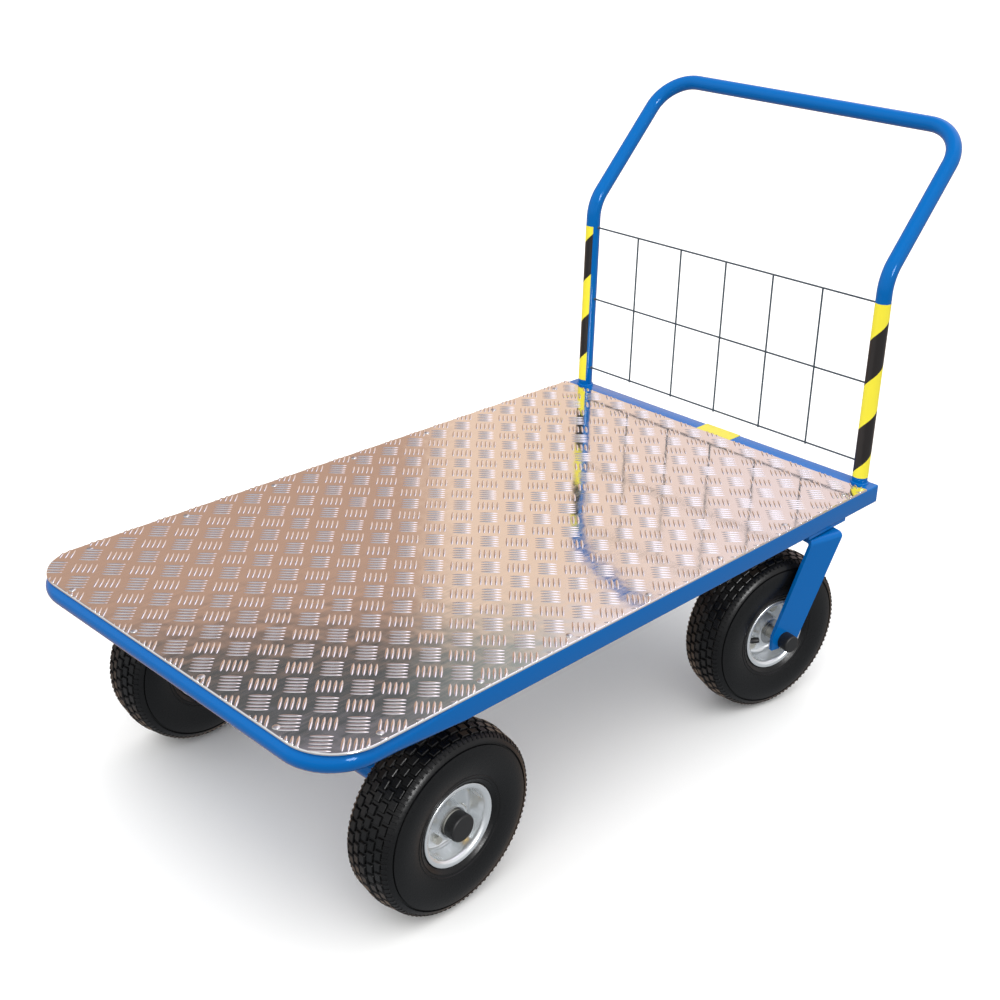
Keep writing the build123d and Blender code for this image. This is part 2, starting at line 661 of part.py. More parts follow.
with BuildPart() as rim_fasteners:
    with BuildSketch(across(0, RIM_THICKNESS, 0)):
        with PolarLocations(RIM_BOLT_CIRCLE / 2, RIM_BOLTS, start_angle=RIM_BOLT_PHASE):
            hexagon(RIM_BOLT)
    extrude(amount=RIM_BOLT_HEAD)
    with BuildSketch(across(0, RIM_THICKNESS, 0)):
        with PolarLocations(RIM_BOLT_CIRCLE / 2, RIM_BOLTS, start_angle=RIM_BOLT_PHASE):
            Circle(RIM_BOLT / 2)
    extrude(amount=-2 * RIM_THICKNESS - RIM_NUT - THREAD_END)
    with BuildSketch(across(0, -RIM_THICKNESS, 0)):
        with PolarLocations(RIM_BOLT_CIRCLE / 2, RIM_BOLTS, start_angle=RIM_BOLT_PHASE):
            hexagon(RIM_BOLT)
            Circle(RIM_BOLT / 2 + SEAT_FIT, mode=Mode.SUBTRACT)
    extrude(amount=-RIM_NUT)

# Bearings: two races and two seals each, one bearing at either end of the hub
with BuildPart() as bearings:
    with BuildSketch(Plane.XY):
        with Locations((BEARING_BORE / 2 + RUNNING_FIT, bearing_y)):
            Rectangle(RACE_THICKNESS, BEARING_WIDTH, align=(Align.MIN, Align.CENTER))
        with Locations((BEARING_OUTSIDE / 2, bearing_y)):
            Rectangle(RACE_THICKNESS, BEARING_WIDTH, align=(Align.MAX, Align.CENTER))
        seal_start = BEARING_BORE / 2 + RUNNING_FIT + RACE_THICKNESS + SEAT_FIT
        seal_end = BEARING_OUTSIDE / 2 - RACE_THICKNESS - SEAT_FIT
        seal_shift = BEARING_WIDTH / 2 - SEAL_RECESS - SEAL_THICKNESS / 2
        with Locations((seal_start, bearing_y - seal_shift), (seal_start, bearing_y + seal_shift)):
            Rectangle(seal_end - seal_start, SEAL_THICKNESS, align=(Align.MIN, Align.CENTER))
    revolve(axis=Axis.Y)
    mirror(about=Plane.XZ)

# The casters: each is turned about its kingpin, its wheel trailing forward
wheel_places = {
    "front_left": front_places[0],
    "front_right": front_places[1],
}
for side_name, side in (("left", 1), ("right", -1)):
    yaw = -side * CASTER_YAW
    caster_place = Location((kingpin_x, side * kingpin_y, 0), (0, 0, yaw))
    wheel_place = caster_place * Location((caster_trail, 0, axle_z), (0, 0, 90 - side * 90))
    wheel_places[f"rear_{side_name}"] = wheel_place
    place(fork.part, f"{side_name}_fork", caster_place)
    place(swivel_balls.part, f"{side_name}_swivel_balls", caster_place)
    place(axle_sleeve.part, f"{side_name}_axle_sleeve", wheel_place)
    place(caster_fasteners.part, f"{side_name}_axle_fasteners", wheel_place)
    place(axle_caps.part, f"{side_name}_axle_caps", wheel_place)

# The four wheels, each stopped at its own angle
wheel_pieces = {
    "tyre": tyre,
    "inner_tube": inner_tube,
    "rim_outer": rim_outer,
    "rim_inner": rim_inner,
    "rim_fasteners": rim_fasteners,
    "bearings": bearings,
}
stopped_at = {"front_left": 121.5, "front_right": 40, "rear_left": 12, "rear_right": 70}
for wheel_name, wheel_place in wheel_places.items():
    spun_place = wheel_place * Location((0, 0, 0), (0, stopped_at[wheel_name], 0))
    for piece_name, piece in wheel_pieces.items():
        place(piece.part, f"{wheel_name}_{piece_name}", spun_place)
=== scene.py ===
# %% [markdown]
# A platform cart: a tread plate deck on two rails and a bent front tube, a fixed push handle with a wire
# mesh, and four pneumatic wheels, the rear two on swivel casters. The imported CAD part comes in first.
# Every piece of it is in its place, in metres, with +X forward and +Z up.

# %% Load the frame
import json
from math import cos, pi, radians, sin

import bmesh
import bpy
import numpy as np
from mathutils import Matrix, Vector

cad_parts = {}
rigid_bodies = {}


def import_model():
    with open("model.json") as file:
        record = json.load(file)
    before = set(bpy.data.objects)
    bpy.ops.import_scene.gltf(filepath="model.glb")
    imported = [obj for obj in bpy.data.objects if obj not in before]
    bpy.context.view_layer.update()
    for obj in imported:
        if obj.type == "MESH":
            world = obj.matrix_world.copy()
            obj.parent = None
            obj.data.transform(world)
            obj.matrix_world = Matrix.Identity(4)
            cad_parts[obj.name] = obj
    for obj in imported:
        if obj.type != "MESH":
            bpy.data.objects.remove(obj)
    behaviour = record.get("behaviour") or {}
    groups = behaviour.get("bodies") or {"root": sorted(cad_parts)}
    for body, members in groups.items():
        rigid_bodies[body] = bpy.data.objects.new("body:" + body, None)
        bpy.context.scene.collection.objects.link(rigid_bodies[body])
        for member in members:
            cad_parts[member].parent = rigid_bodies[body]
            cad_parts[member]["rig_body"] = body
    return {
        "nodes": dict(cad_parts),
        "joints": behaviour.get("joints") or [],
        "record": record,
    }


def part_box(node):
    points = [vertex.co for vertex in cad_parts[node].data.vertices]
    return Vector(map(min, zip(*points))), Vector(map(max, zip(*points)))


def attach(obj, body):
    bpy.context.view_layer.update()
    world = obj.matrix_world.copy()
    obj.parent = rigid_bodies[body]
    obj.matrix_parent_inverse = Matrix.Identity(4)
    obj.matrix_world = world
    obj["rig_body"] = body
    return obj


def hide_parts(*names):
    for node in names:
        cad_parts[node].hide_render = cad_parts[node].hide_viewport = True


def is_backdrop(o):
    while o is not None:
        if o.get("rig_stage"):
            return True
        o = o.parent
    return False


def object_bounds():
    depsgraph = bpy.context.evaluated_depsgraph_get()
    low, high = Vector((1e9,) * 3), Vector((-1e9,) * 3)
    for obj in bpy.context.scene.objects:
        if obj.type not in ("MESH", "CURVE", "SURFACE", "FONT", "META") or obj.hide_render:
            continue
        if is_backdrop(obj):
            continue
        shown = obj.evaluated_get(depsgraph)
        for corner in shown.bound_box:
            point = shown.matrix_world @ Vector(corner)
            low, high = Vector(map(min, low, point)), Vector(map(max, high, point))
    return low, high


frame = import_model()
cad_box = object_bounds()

scene = bpy.context.scene
nodes = frame["nodes"]
MM = 0.001
print(len(nodes), "CAD nodes, from", cad_box[0], "to", cad_box[1])

# %% [markdown]
# Three helpers serve the whole lesson. Colours are written as the hex codes that a paint chart or a
# picture editor shows, and shaders work in linear light, so each code is converted once. Node trees, for
# shaders and for geometry alike, are built by one function that adds a node and fills its inputs. The
# third starts a material from its colour, its roughness and whether it is a metal.

# %% Colours and nodes
def srgb(code):
    """A hex colour as the linear values that shaders work in."""
    levels = [int(code[i : i + 2], 16) / 255 for i in (1, 3, 5)]
    linear = [v / 12.92 if v <= 0.04045 else ((v + 0.055) / 1.055) ** 2.4 for v in levels]
    return (*linear, 1.0)


def add(tree, kind, settings, inputs):
    """Add one node: settings are its own choices; inputs are values, or sockets to link."""
    node = tree.nodes.new(kind)
    for key, value in settings.items():
        setattr(node, key, value)
    for key, value in inputs.items():
        if isinstance(value, bpy.types.NodeSocket):
            tree.links.new(value, node.inputs[key])
        else:
            node.inputs[key].default_value = value
    return node


def finish(name, colour, roughness, metallic=0.0):
    """A material named after a real finish, with its even values set straight on the shader."""
    material = bpy.data.materials.new(name)
    material.use_nodes = True
    shader = material.node_tree.nodes["Principled BSDF"]
    shader.inputs["Base Color"].default_value = srgb(colour)
    shader.inputs["Roughness"].default_value = roughness
    shader.inputs["Metallic"].default_value = metallic
    return material, material.node_tree, shader


# %% [markdown]
# The frame, handle and forks are steel tube and strip in gloss blue enamel. Sprayed enamel levels to a
# glassy skin with a faint orange peel, which a very weak bump gives. The gloss is tinted with the paint's
# own blue, so faces seen at a low angle stay blue. A thin clear coat over it gives the small white glints
# on the bends. Real orange peel is about 2 mm wide, finer than a pixel here, so it is drawn 6 mm wide.

# %% Gloss blue enamel
PEEL_SIZE = 6 * MM
blue_enamel, tree, shader = finish("gloss_blue_enamel", "#0064B0", 0.2)
shader.inputs["IOR"].default_value = 1.5
shader.inputs["Specular IOR Level"].default_value = 0.2
shader.inputs["Specular Tint"].default_value = srgb("#3A9BE8")
shader.inputs["Coat Weight"].default_value = 0.25
shader.inputs["Coat Roughness"].default_value = 0.06
where = add(tree, "ShaderNodeTexCoord", {}, {})
peel = add(
    tree,
    "ShaderNodeTexNoise",
    {},
    {"Vector": where.outputs["Object"], "Scale": 1 / PEEL_SIZE, "Detail": 1.0},
)
dent = add(tree, "ShaderNodeBump", {}, {"Height": peel.outputs["Fac"], "Strength": 0.05, "Distance": MM})
tree.links.new(dent.outputs["Normal"], shader.inputs["Normal"])
print("made", blue_enamel.name)

# %% [markdown]
# The deck is bright rolled aluminium, almost a mirror. Rolling leaves long faint streaks along the sheet,
# so the roughness varies in a noise that is stretched along X. The sheet is never quite flat either:
# pressing the bars leaves waves about as wide as a bar is long, which make the mirrored handle and mesh
# waver. A noise seldom leaves the middle of its range, so that middle is what is spread over the two
# roughnesses.

# %% Bright rolled aluminium
STREAK_LENGTH, STREAK_WIDTH = 400 * MM, 5 * MM
SHEET_WAVE = 28 * MM
NOISE_LOW, NOISE_HIGH = 0.3, 0.7
BRIGHT_STREAK, DULL_STREAK = 0.06, 0.13
bright_aluminium, tree, shader = finish("bright_rolled_aluminium", "#EDECEA", 0.12, 1.0)
where = add(tree, "ShaderNodeTexCoord", {}, {})
along = add(
    tree,
    "ShaderNodeMapping",
    {},
    {"Vector": where.outputs["Object"], "Scale": (1 / STREAK_LENGTH, 1 / STREAK_WIDTH, 1)},
)
streaks = add(
    tree,
    "ShaderNodeTexNoise",
    {},
    {"Vector": along.outputs["Vector"], "Scale": 1.0, "Detail": 3.0},
)
polish = add(
    tree,
    "ShaderNodeMapRange",
    {},
    {
        "Value": streaks.outputs["Fac"],
        "From Min": NOISE_LOW,
        "From Max": NOISE_HIGH,
        "To Min": BRIGHT_STREAK,
        "To Max": DULL_STREAK,
    },
)
tree.links.new(polish.outputs["Result"], shader.inputs["Roughness"])
waves = add(
    tree,
    "ShaderNodeTexNoise",
    {},
    {"Vector": where.outputs["Object"], "Scale": 1 / SHEET_WAVE, "Detail": 1.0},
)
dent = add(tree, "ShaderNodeBump", {}, {"Height": waves.outputs["Fac"], "Strength": 0.2, "Distance": MM})
tree.links.new(dent.outputs["Normal"], shader.inputs["Normal"])
print("made", bright_aluminium.name)

# %% [markdown]
# The rims, bolts and axles are zinc plated steel. Zinc is paler and less even than chrome: its thin
# passive skin scatters some light, and a soft mottle of roughness tells the eye that it is plating and
# not polish.

# %% Zinc plating
MOTTLE_SIZE = 18 * MM
PLATED_SHARE = 0.7
CLOUD_LOW, CLOUD_HIGH = 0.35, 0.65


def zinc(name, colour, dull, bright):
    """Plated steel whose roughness wanders between two values in small clouds."""
    material, tree, shader = finish(name, colour, dull, PLATED_SHARE)
    where = add(tree, "ShaderNodeTexCoord", {}, {})
    clouds = add(
        tree,
        "ShaderNodeTexNoise",
        {},
        {"Vector": where.outputs["Object"], "Scale": 1 / MOTTLE_SIZE, "Detail": 2.0},
    )
    sheen = add(
        tree,
        "ShaderNodeMapRange",
        {},
        {
            "Value": clouds.outputs["Fac"],
            "From Min": CLOUD_LOW,
            "From Max": CLOUD_HIGH,
            "To Min": bright,
            "To Max": dull,
        },
    )
    tree.links.new(sheen.outputs["Result"], shader.inputs["Roughness"])
    return material


rim_zinc = zinc("bright_zinc_on_pressed_steel", "#E6E9EB", 0.26, 0.16)
bolt_zinc = zinc("zinc_plated_fastener", "#C3C1B8", 0.45, 0.3)
print("made", rim_zinc.name, "and", bolt_zinc.name)

# %% [markdown]
# Tyre rubber is nearly black and scatters light broadly, with a grey sheen where the surface turns away.
# A fine grain keeps the sheen from looking like plastic. The grain of a mould is under a millimetre and
# is drawn 3 mm wide.

# %% Tyre rubber
GRAIN_SIZE = 3 * MM
RUBBED, DULL = 0.26, 0.4
tyre_rubber, tree, shader = finish("black_tyre_rubber", "#080809", 0.35)
shader.inputs["IOR"].default_value = 1.52
shader.inputs["Specular IOR Level"].default_value = 0.28
where = add(tree, "ShaderNodeTexCoord", {}, {})
grain = add(
    tree,
    "ShaderNodeTexNoise",
    {},
    {"Vector": where.outputs["Object"], "Scale": 1 / GRAIN_SIZE, "Detail": 3.0},
)
worn = add(
    tree,
    "ShaderNodeMapRange",
    {},
    {
        "Value": grain.outputs["Fac"],
        "From Min": NOISE_LOW,
        "From Max": NOISE_HIGH,
        "To Min": RUBBED,
        "To Max": DULL,
    },
)
tree.links.new(worn.outputs["Result"], shader.inputs["Roughness"])
dent = add(tree, "ShaderNodeBump", {}, {"Height": grain.outputs["Fac"], "Strength": 0.15, "Distance": MM})
tree.links.new(dent.outputs["Normal"], shader.inputs["Normal"])
print("made", tyre_rubber.name)

# %% [markdown]
# The hazard tape is printed film with yellow and black bands at a slant. The film has its own UV map, in
# metres: U runs round the tube and V runs up it. Bands are then plain arithmetic: the height, less a
# share of the way round, is counted in periods, and half of each period is yellow.

# %% Hazard tape film
STRIPE_PERIOD = 148 * MM
STRIPE_SLANT = 1.1
YELLOW_SHARE = 0.5
hazard_film, tree, shader = finish("black_and_yellow_hazard_film", "#F4DE1C", 0.28)
shader.inputs["IOR"].default_value = 1.5
spot = add(tree, "ShaderNodeUVMap", {"uv_map": "tape"}, {})
parts = add(tree, "ShaderNodeSeparateXYZ", {}, {"Vector": spot.outputs["UV"]})
slant = add(tree, "ShaderNodeMath", {"operation": "MULTIPLY"}, {0: parts.outputs["X"], 1: STRIPE_SLANT})
height = add(tree, "ShaderNodeMath", {"operation": "SUBTRACT"}, {0: parts.outputs["Y"], 1: slant.outputs[0]})
count = add(tree, "ShaderNodeMath", {"operation": "DIVIDE"}, {0: height.outputs[0], 1: STRIPE_PERIOD})
share = add(tree, "ShaderNodeMath", {"operation": "FRACT"}, {0: count.outputs[0]})
black = add(tree, "ShaderNodeMath", {"operation": "GREATER_THAN"}, {0: share.outputs[0], 1: YELLOW_SHARE})
bands = add(
    tree,
    "ShaderNodeMix",
    {"data_type": "RGBA"},
    {"Factor": black.outputs[0], "A": srgb("#FFF03C"), "B": srgb("#1C1614")},
)
tree.links.new(bands.outputs["Result"], shader.inputs["Base Color"])
print("made", hazard_film.name)

# %% [markdown]
# The small finishes are even, so each is only a few values on its shader: a dark grey-blue on the mesh
# wires that is painted shade, moulded caps, a blank film label, rivets, the brass of the valves, ground
# bearing steel and the butyl of the inner tubes.
# Every CAD node then gets the finish that its slot asks for.

# %% Small even finishes
# The wires' dark grey-blue is painted shade: it stands for thin wires seen dark against the light, not for
# the colour of their paint.
shaded_wire_tone = finish("wire_in_painted_shade", "#37434E", 0.4)[0]
cap_plastic = finish("moulded_black_plastic", "#121213", 0.48)[0]
label_film = finish("blank_yellow_film", "#DCD038", 0.3)[0]
rivet_aluminium = finish("plain_aluminium_rivet", "#D2D2D0", 0.3, 1.0)[0]
valve_brass = finish("turned_brass", "#C9A452", 0.28, 1.0)[0]
ground_steel = finish("ground_bearing_steel", "#A9ABAD", 0.22, 1.0)[0]
butyl = finish("butyl_inner_tube", "#1D1D1E", 0.6)[0]
finish_of = {
    "blue_paint": blue_enamel,
    "tread_plate": bright_aluminium,
    "rivet": rivet_aluminium,
    "wire": shaded_wire_tone,
    "hazard_tape": hazard_film,
    "label": label_film,
    "zinc": bolt_zinc,
    "bearing_steel": ground_steel,
    "black_plastic": cap_plastic,
    "tyre": tyre_rubber,
    "inner_tube": butyl,
    "rim": rim_zinc,
}
slot_of = {entry["node"]: entry["material_slot"] for entry in frame["record"]["subparts"]}
for name, node in nodes.items():
    node.data.materials.clear()
    node.data.materials.append(finish_of[slot_of[name]])
print("finishes on", len(slot_of), "nodes")

# %% [markdown]
# CAD meshes are flat facets with every corner split. For pieces that are seen, a copy is merged and
# shaded smooth below an angle, so a bend looks bent and an edge stays sharp. The copy stands for its
# node; the node itself is left alone.

# %% Merged copies of CAD pieces
SMOOTH_BELOW = radians(32)
MERGE = 0.002 * MM


def settle(piece, body, slot, *stands_for):
    """Let a finished piece ride on a body, and hide the nodes that it stands for. The slot is not used."""
    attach(piece, body)
    if stands_for:
        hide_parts(*stands_for)


def smooth(piece, below=SMOOTH_BELOW):
    """Shade a piece smooth, and keep an edge sharp where its faces meet at more than an angle."""
    piece.data.shade_smooth()
    piece.data.set_sharp_from_angle(angle=below)


def dress(name):
    """A merged, smooth-shaded copy that stands for a CAD node."""
    copy = bpy.data.objects.new(f"{name}_skin", nodes[name].data.copy())
    scene.collection.objects.link(copy)
    if "custom_normal" in copy.data.attributes:
        copy.data.attributes.remove(copy.data.attributes["custom_normal"])
    shape = bmesh.new()
    shape.from_mesh(copy.data)
    bmesh.ops.remove_doubles(shape, verts=shape.verts, dist=MERGE)
    shape.to_mesh(copy.data)
    shape.free()
    smooth(copy)
    settle(copy, nodes[name]["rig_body"], slot_of[name], name)


WHEELS = ("front_left", "front_right", "rear_left", "rear_right")
CASTER_PIECES = ("fork", "axle_caps", "axle_fasteners", "axle_sleeve")
RIM_PIECES = ("rim_outer", "rim_inner", "rim_fasteners")
dressed = ["deck_plate", "mesh_panel", "blank_label", "hub_caps", "axle_tube", "axle_spacers"]
dressed += ["axle_fasteners", "front_axle", "axle_bracket_left", "axle_bracket_right"]
dressed += ["lower_races", "kingpins", "kingpin_nuts"]
dressed += [f"{side}_{piece}" for side in ("left", "right") for piece in CASTER_PIECES]
dressed += [f"{wheel}_{piece}" for wheel in WHEELS for piece in RIM_PIECES]
for name in dressed:
    dress(name)
print(len(dressed), "pieces merged and smoothed")

# %% [markdown]
# A cut sheet has a broken edge, and that edge shows as one bright line along the deck. Here the plate's
# upper outline is bevelled. The short edges are the rivet holes and are left out.

# %% Broken edge of the plate
EDGE_BREAK, HOLE_CHORD = 1.4 * MM, 2.5 * MM
EDGE_ANGLE = radians(60)
plate = bpy.data.objects["deck_plate_skin"]
plate_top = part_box("deck_plate")[1].z
shape = bmesh.new()
shape.from_mesh(plate.data)
outline = [
    edge
    for edge in shape.edges
    if all(abs(v.co.z - plate_top) < MERGE for v in edge.verts)
    and edge.calc_length() > HOLE_CHORD
    and edge.calc_face_angle(0) > EDGE_ANGLE
]
bmesh.ops.bevel(shape, geom=outline, offset=EDGE_BREAK, segments=2, affect="EDGES", profile=0.5)
shape.to_mesh(plate.data)
shape.free()
print("bevelled", len(outline), "edges of the plate")

# %% [markdown]
# Tubes, tread bars, weld beads and tyre blocks either follow a path or repeat, which is what Geometry
# Nodes are for. A tree is built once with named sizes. It is then run on a seed object, and the result is
# kept as a plain mesh. Every tree ends alike: instances become real faces, and the faces get the tree's
# material.

# %% Building and running a geometry tree
def geometry_tree(name, inputs):
    """A geometry tree with one named input per size, and its first and last node."""
    tree = bpy.data.node_groups.new(name, "GeometryNodeTree")
    for label, kind in inputs.items():
        tree.interface.new_socket(label, in_out="INPUT", socket_type=f"NodeSocket{kind}")
    tree.interface.new_socket("Geometry", in_out="OUTPUT", socket_type="NodeSocketGeometry")
    return tree, tree.nodes.new("NodeGroupInput").outputs, tree.nodes.new("NodeGroupOutput").inputs


def close_tree(tree, size, out, geometry):
    """Make a tree's instances real, coat them, and hand them to its output."""
    whole = add(tree, "GeometryNodeRealizeInstances", {}, {"Geometry": geometry})
    coated = add(
        tree,
        "GeometryNodeSetMaterial",
        {},
        {"Geometry": whole.outputs["Geometry"], "Material": size["Material"]},
    )
    tree.links.new(coated.outputs["Geometry"], out["Geometry"])
    print("tree", tree.name, "with", len(tree.nodes), "nodes")


def grow(name, tree, sizes, points=(), edges=()):
    """Run a geometry tree on a seed of points and edges, and keep the result as a plain mesh object."""
    seed_mesh = bpy.data.meshes.new(name)
    seed_mesh.from_pydata(points, edges, [])
    seed = bpy.data.objects.new(name, seed_mesh)
    scene.collection.objects.link(seed)
    modifier = seed.modifiers.new(name, "NODES")
    modifier.node_group = tree
    for socket in tree.interface.items_tree:
        if socket.in_out == "INPUT" and socket.name in sizes:
            modifier[socket.identifier] = sizes[socket.name]
    graph = bpy.context.evaluated_depsgraph_get()
    made = bpy.data.meshes.new_from_object(seed.evaluated_get(graph), depsgraph=graph)
    seed.modifiers.clear()
    seed.data = made
    print(name, "has", len(made.polygons), "faces")
    return seed


# %% [markdown]
# The front of the deck frame is one tube bent round both corners, and the handle is another. A tube is a
# path and a round section: the path's corners are filleted to the bender's radius, and the section is
# swept along it. Thirty-two sides shade as a true round, which the CAD facets would not.

# %% Bent tube tree
TUBE_SIDES, BEND_STEPS = 32, 16
tree, size, out = geometry_tree(
    "bent_tube",
    {
        "Path": "Geometry",
        "Bend radius": "Float",
        "Tube radius": "Float",
        "Sides": "Int",
        "Material": "Material",
    },
)
path = add(tree, "GeometryNodeMeshToCurve", {}, {"Mesh": size["Path"]})
bent = add(
    tree,
    "GeometryNodeFilletCurve",
    {"mode": "POLY"},
    {"Curve": path.outputs["Curve"], "Radius": size["Bend radius"], "Count": BEND_STEPS},
)
section = add(
    tree,
    "GeometryNodeCurvePrimitiveCircle",
    {"mode": "RADIUS"},
    {"Resolution": size["Sides"], "Radius": size["Tube radius"]},
)
tube = add(
    tree,
    "GeometryNodeCurveToMesh",
    {},
    {"Curve": bent.outputs["Curve"], "Profile Curve": section.outputs["Curve"], "Fill Caps": True},
)
close_tree(tree, size, out, tube.outputs["Mesh"])

# %% [markdown]
# Both paths lie on the middle of their tube, half a tube inside the CAD boxes. Only half of each is
# written, and the other half mirrors it.

# %% Front tube and handle
FRAME_TUBE, FRAME_BEND = 30 * MM, 64 * MM
HANDLE_TUBE, HANDLE_BEND = 25 * MM, 65 * MM
KNEE_HEIGHT = 341 * MM
low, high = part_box("front_tube")
tube_x, tube_y, tube_z = high.x - FRAME_TUBE / 2, high.y - FRAME_TUBE / 2, high.z - FRAME_TUBE / 2
rail_end_x, frame_top = low.x, high.z
front_path = [(rail_end_x, -tube_y, tube_z), (tube_x, -tube_y, tube_z)]
front_path += [(x, -y, z) for x, y, z in reversed(front_path)]
low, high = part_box("handle_tube")
upright_x, upright_y = high.x - HANDLE_TUBE / 2, high.y - HANDLE_TUBE / 2
grip_x, grip_z = low.x + HANDLE_TUBE / 2, high.z - HANDLE_TUBE / 2
half_path = [(upright_x, frame_top), (upright_x, frame_top + KNEE_HEIGHT), (grip_x, grip_z)]
handle_path = [(x, -upright_y, z) for x, z in half_path]
handle_path += [(x, upright_y, z) for x, z in reversed(half_path)]
for name, route, bend, thickness, node in (
    ("front_bent_tube", front_path, FRAME_BEND, FRAME_TUBE, "front_tube"),
    ("push_handle", handle_path, HANDLE_BEND, HANDLE_TUBE, "handle_tube"),
):
    steps = [(i, i + 1) for i in range(len(route) - 1)]
    sizes = {"Bend radius": bend, "Tube radius": thickness / 2, "Sides": TUBE_SIDES, "Material": blue_enamel}
    piece = grow(name, bpy.data.node_groups["bent_tube"], sizes, route, steps)
    smooth(piece)
    settle(piece, "frame", "blue_paint", node)

# %% [markdown]
# Pieces that are neither swept nor repeated start as a shape of their own, which is then kept as an
# object. The plainest is a block with bevelled edges: the rear bar is one, and so is each block of a
# tyre's tread.

# %% Blocks and kept shapes
def block(low, high, rounding, segments):
    """A rounded block between two corners."""
    shape = bmesh.new()
    bmesh.ops.create_cube(shape, size=1)
    for vertex in shape.verts:
        vertex.co = Vector(low[i] + (vertex.co[i] + 0.5) * (high[i] - low[i]) for i in range(3))
    bmesh.ops.bevel(shape, geom=shape.edges, offset=rounding, segments=segments, affect="EDGES", profile=0.5)
    return shape


def keep(shape, name, material):
    """Turn a shape into an object of one material."""
    mesh = bpy.data.meshes.new(name)
    shape.to_mesh(mesh)
    shape.free()
    mesh.materials.append(material)
    piece = bpy.data.objects.new(name, mesh)
    scene.collection.objects.link(piece)
    return piece


# %% [markdown]
# Two square tubes are the sides of the frame, and a rectangular one closes it behind the deck. Drawn tube
# has rounded corners, and a rounded corner is what catches the light. A rail is a row of sections: square
# along its length, and rounding off in front, where it runs into the bent tube without a step. A full
# round is just under half the tube's height, so that two corners never meet in one point.

# %% Rails and rear bar
RAIL_ROUND, RAIL_BLEND, END_BREAK = 2.5 * MM, 110 * MM, 1 * MM
FULL_ROUND = 0.495
BLEND_STEPS, CORNER_STEPS = 8, 6


def rounded_rail(low, high):
    """A square tube along X whose corners grow to a full round at its front end."""
    full_round = FULL_ROUND * (high.z - low.z)
    stations = [(low.x, END_BREAK, RAIL_ROUND), (low.x + END_BREAK, 0, RAIL_ROUND)]
    for i in range(BLEND_STEPS + 1):
        share = i / BLEND_STEPS
        rounding = RAIL_ROUND + (full_round - RAIL_ROUND) * share
        stations.append((high.x - RAIL_BLEND * (1 - share), 0, rounding))
    middle = (low + high) / 2
    half_y, half_z = (high.y - low.y) / 2, (high.z - low.z) / 2
    shape = bmesh.new()
    rings = []
    for x, inset, rounding in stations:
        ring = []
        for quarter, (side_y, side_z) in enumerate(((1, 1), (-1, 1), (-1, -1), (1, -1))):
            for i in range(CORNER_STEPS + 1):
                turn = pi / 2 * (quarter + i / CORNER_STEPS)
                y = middle.y + side_y * (half_y - inset - rounding) + cos(turn) * rounding
                z = middle.z + side_z * (half_z - inset - rounding) + sin(turn) * rounding
                ring.append(shape.verts.new((x, y, z)))
        rings.append(ring)
    for ring, after in zip(rings, rings[1:]):
        for i in range(len(ring)):
            j = (i + 1) % len(ring)
            shape.faces.new((ring[i], ring[j], after[j], after[i]))
    shape.faces.new(rings[0])
    shape.faces.new(rings[-1])
    bmesh.ops.recalc_face_normals(shape, faces=shape.faces)
    return shape


frame_shapes = {"rear_bar": block(*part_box("rear_bar"), RAIL_ROUND, 3)}
for node in ("side_rail_left", "side_rail_right"):
    frame_shapes[node] = rounded_rail(*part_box(node))
for node, shape in frame_shapes.items():
    rail = keep(shape, f"{node}_tube", blue_enamel)
    smooth(rail)
    settle(rail, "frame", "blue_paint", node)
    print(node, [round(v, 4) for v in rail.dimensions])

# %% [markdown]
# The tread pattern is pressed into the sheet: groups of five short bars, each group turned a quarter turn
# from its neighbours. Two lattices, one shifted by half a pitch both ways, carry the two directions. A
# bar is a flat ellipsoid of a few dozen faces, sunk so that only its cap stands out of the sheet. Five of
# them make a group, and a group stands at every lattice point.

# %% Five-bar tread tree
tree, size, out = geometry_tree(
    "five_bar_tread",
    {
        "Bar": "Vector",
        "Bar spacing": "Float",
        "Bars": "Int",
        "Pitch along": "Float",
        "Pitch across": "Float",
        "Columns": "Int",
        "Rows": "Int",
        "Middle": "Vector",
        "Turn": "Float",
        "Material": "Material",
    },
)
ball = add(tree, "GeometryNodeMeshUVSphere", {}, {"Segments": 8, "Rings": 6, "Radius": 1.0})
bar = add(
    tree,
    "GeometryNodeTransform",
    {},
    {"Geometry": ball.outputs["Mesh"], "Rotation": (0, pi / 2, 0), "Scale": size["Bar"]},
)
last = add(tree, "ShaderNodeMath", {"operation": "SUBTRACT"}, {0: size["Bars"], 1: 1.0})
reach = add(tree, "ShaderNodeMath", {"operation": "MULTIPLY"}, {0: last.outputs[0], 1: size["Bar spacing"]})
half = add(tree, "ShaderNodeMath", {"operation": "MULTIPLY"}, {0: reach.outputs[0], 1: -0.5})
start = add(tree, "ShaderNodeCombineXYZ", {}, {"Y": half.outputs[0]})
step = add(tree, "ShaderNodeCombineXYZ", {}, {"Y": size["Bar spacing"]})
line = add(
    tree,
    "GeometryNodeMeshLine",
    {"mode": "OFFSET"},
    {"Count": size["Bars"], "Start Location": start.outputs[0], "Offset": step.outputs[0]},
)
group = add(
    tree,
    "GeometryNodeInstanceOnPoints",
    {},
    {"Points": line.outputs["Mesh"], "Instance": bar.outputs["Geometry"]},
)
spans = []
for count, pitch in (("Columns", "Pitch along"), ("Rows", "Pitch across")):
    gaps = add(tree, "ShaderNodeMath", {"operation": "SUBTRACT"}, {0: size[count], 1: 1.0})
    spans.append(add(tree, "ShaderNodeMath", {"operation": "MULTIPLY"}, {0: gaps.outputs[0], 1: size[pitch]}))
lattice = add(
    tree,
    "GeometryNodeMeshGrid",
    {},
    {
        "Size X": spans[0].outputs[0],
        "Size Y": spans[1].outputs[0],
        "Vertices X": size["Columns"],
        "Vertices Y": size["Rows"],
    },
)
placed = add(
    tree,
    "GeometryNodeTransform",
    {},
    {"Geometry": lattice.outputs["Mesh"], "Translation": size["Middle"]},
)
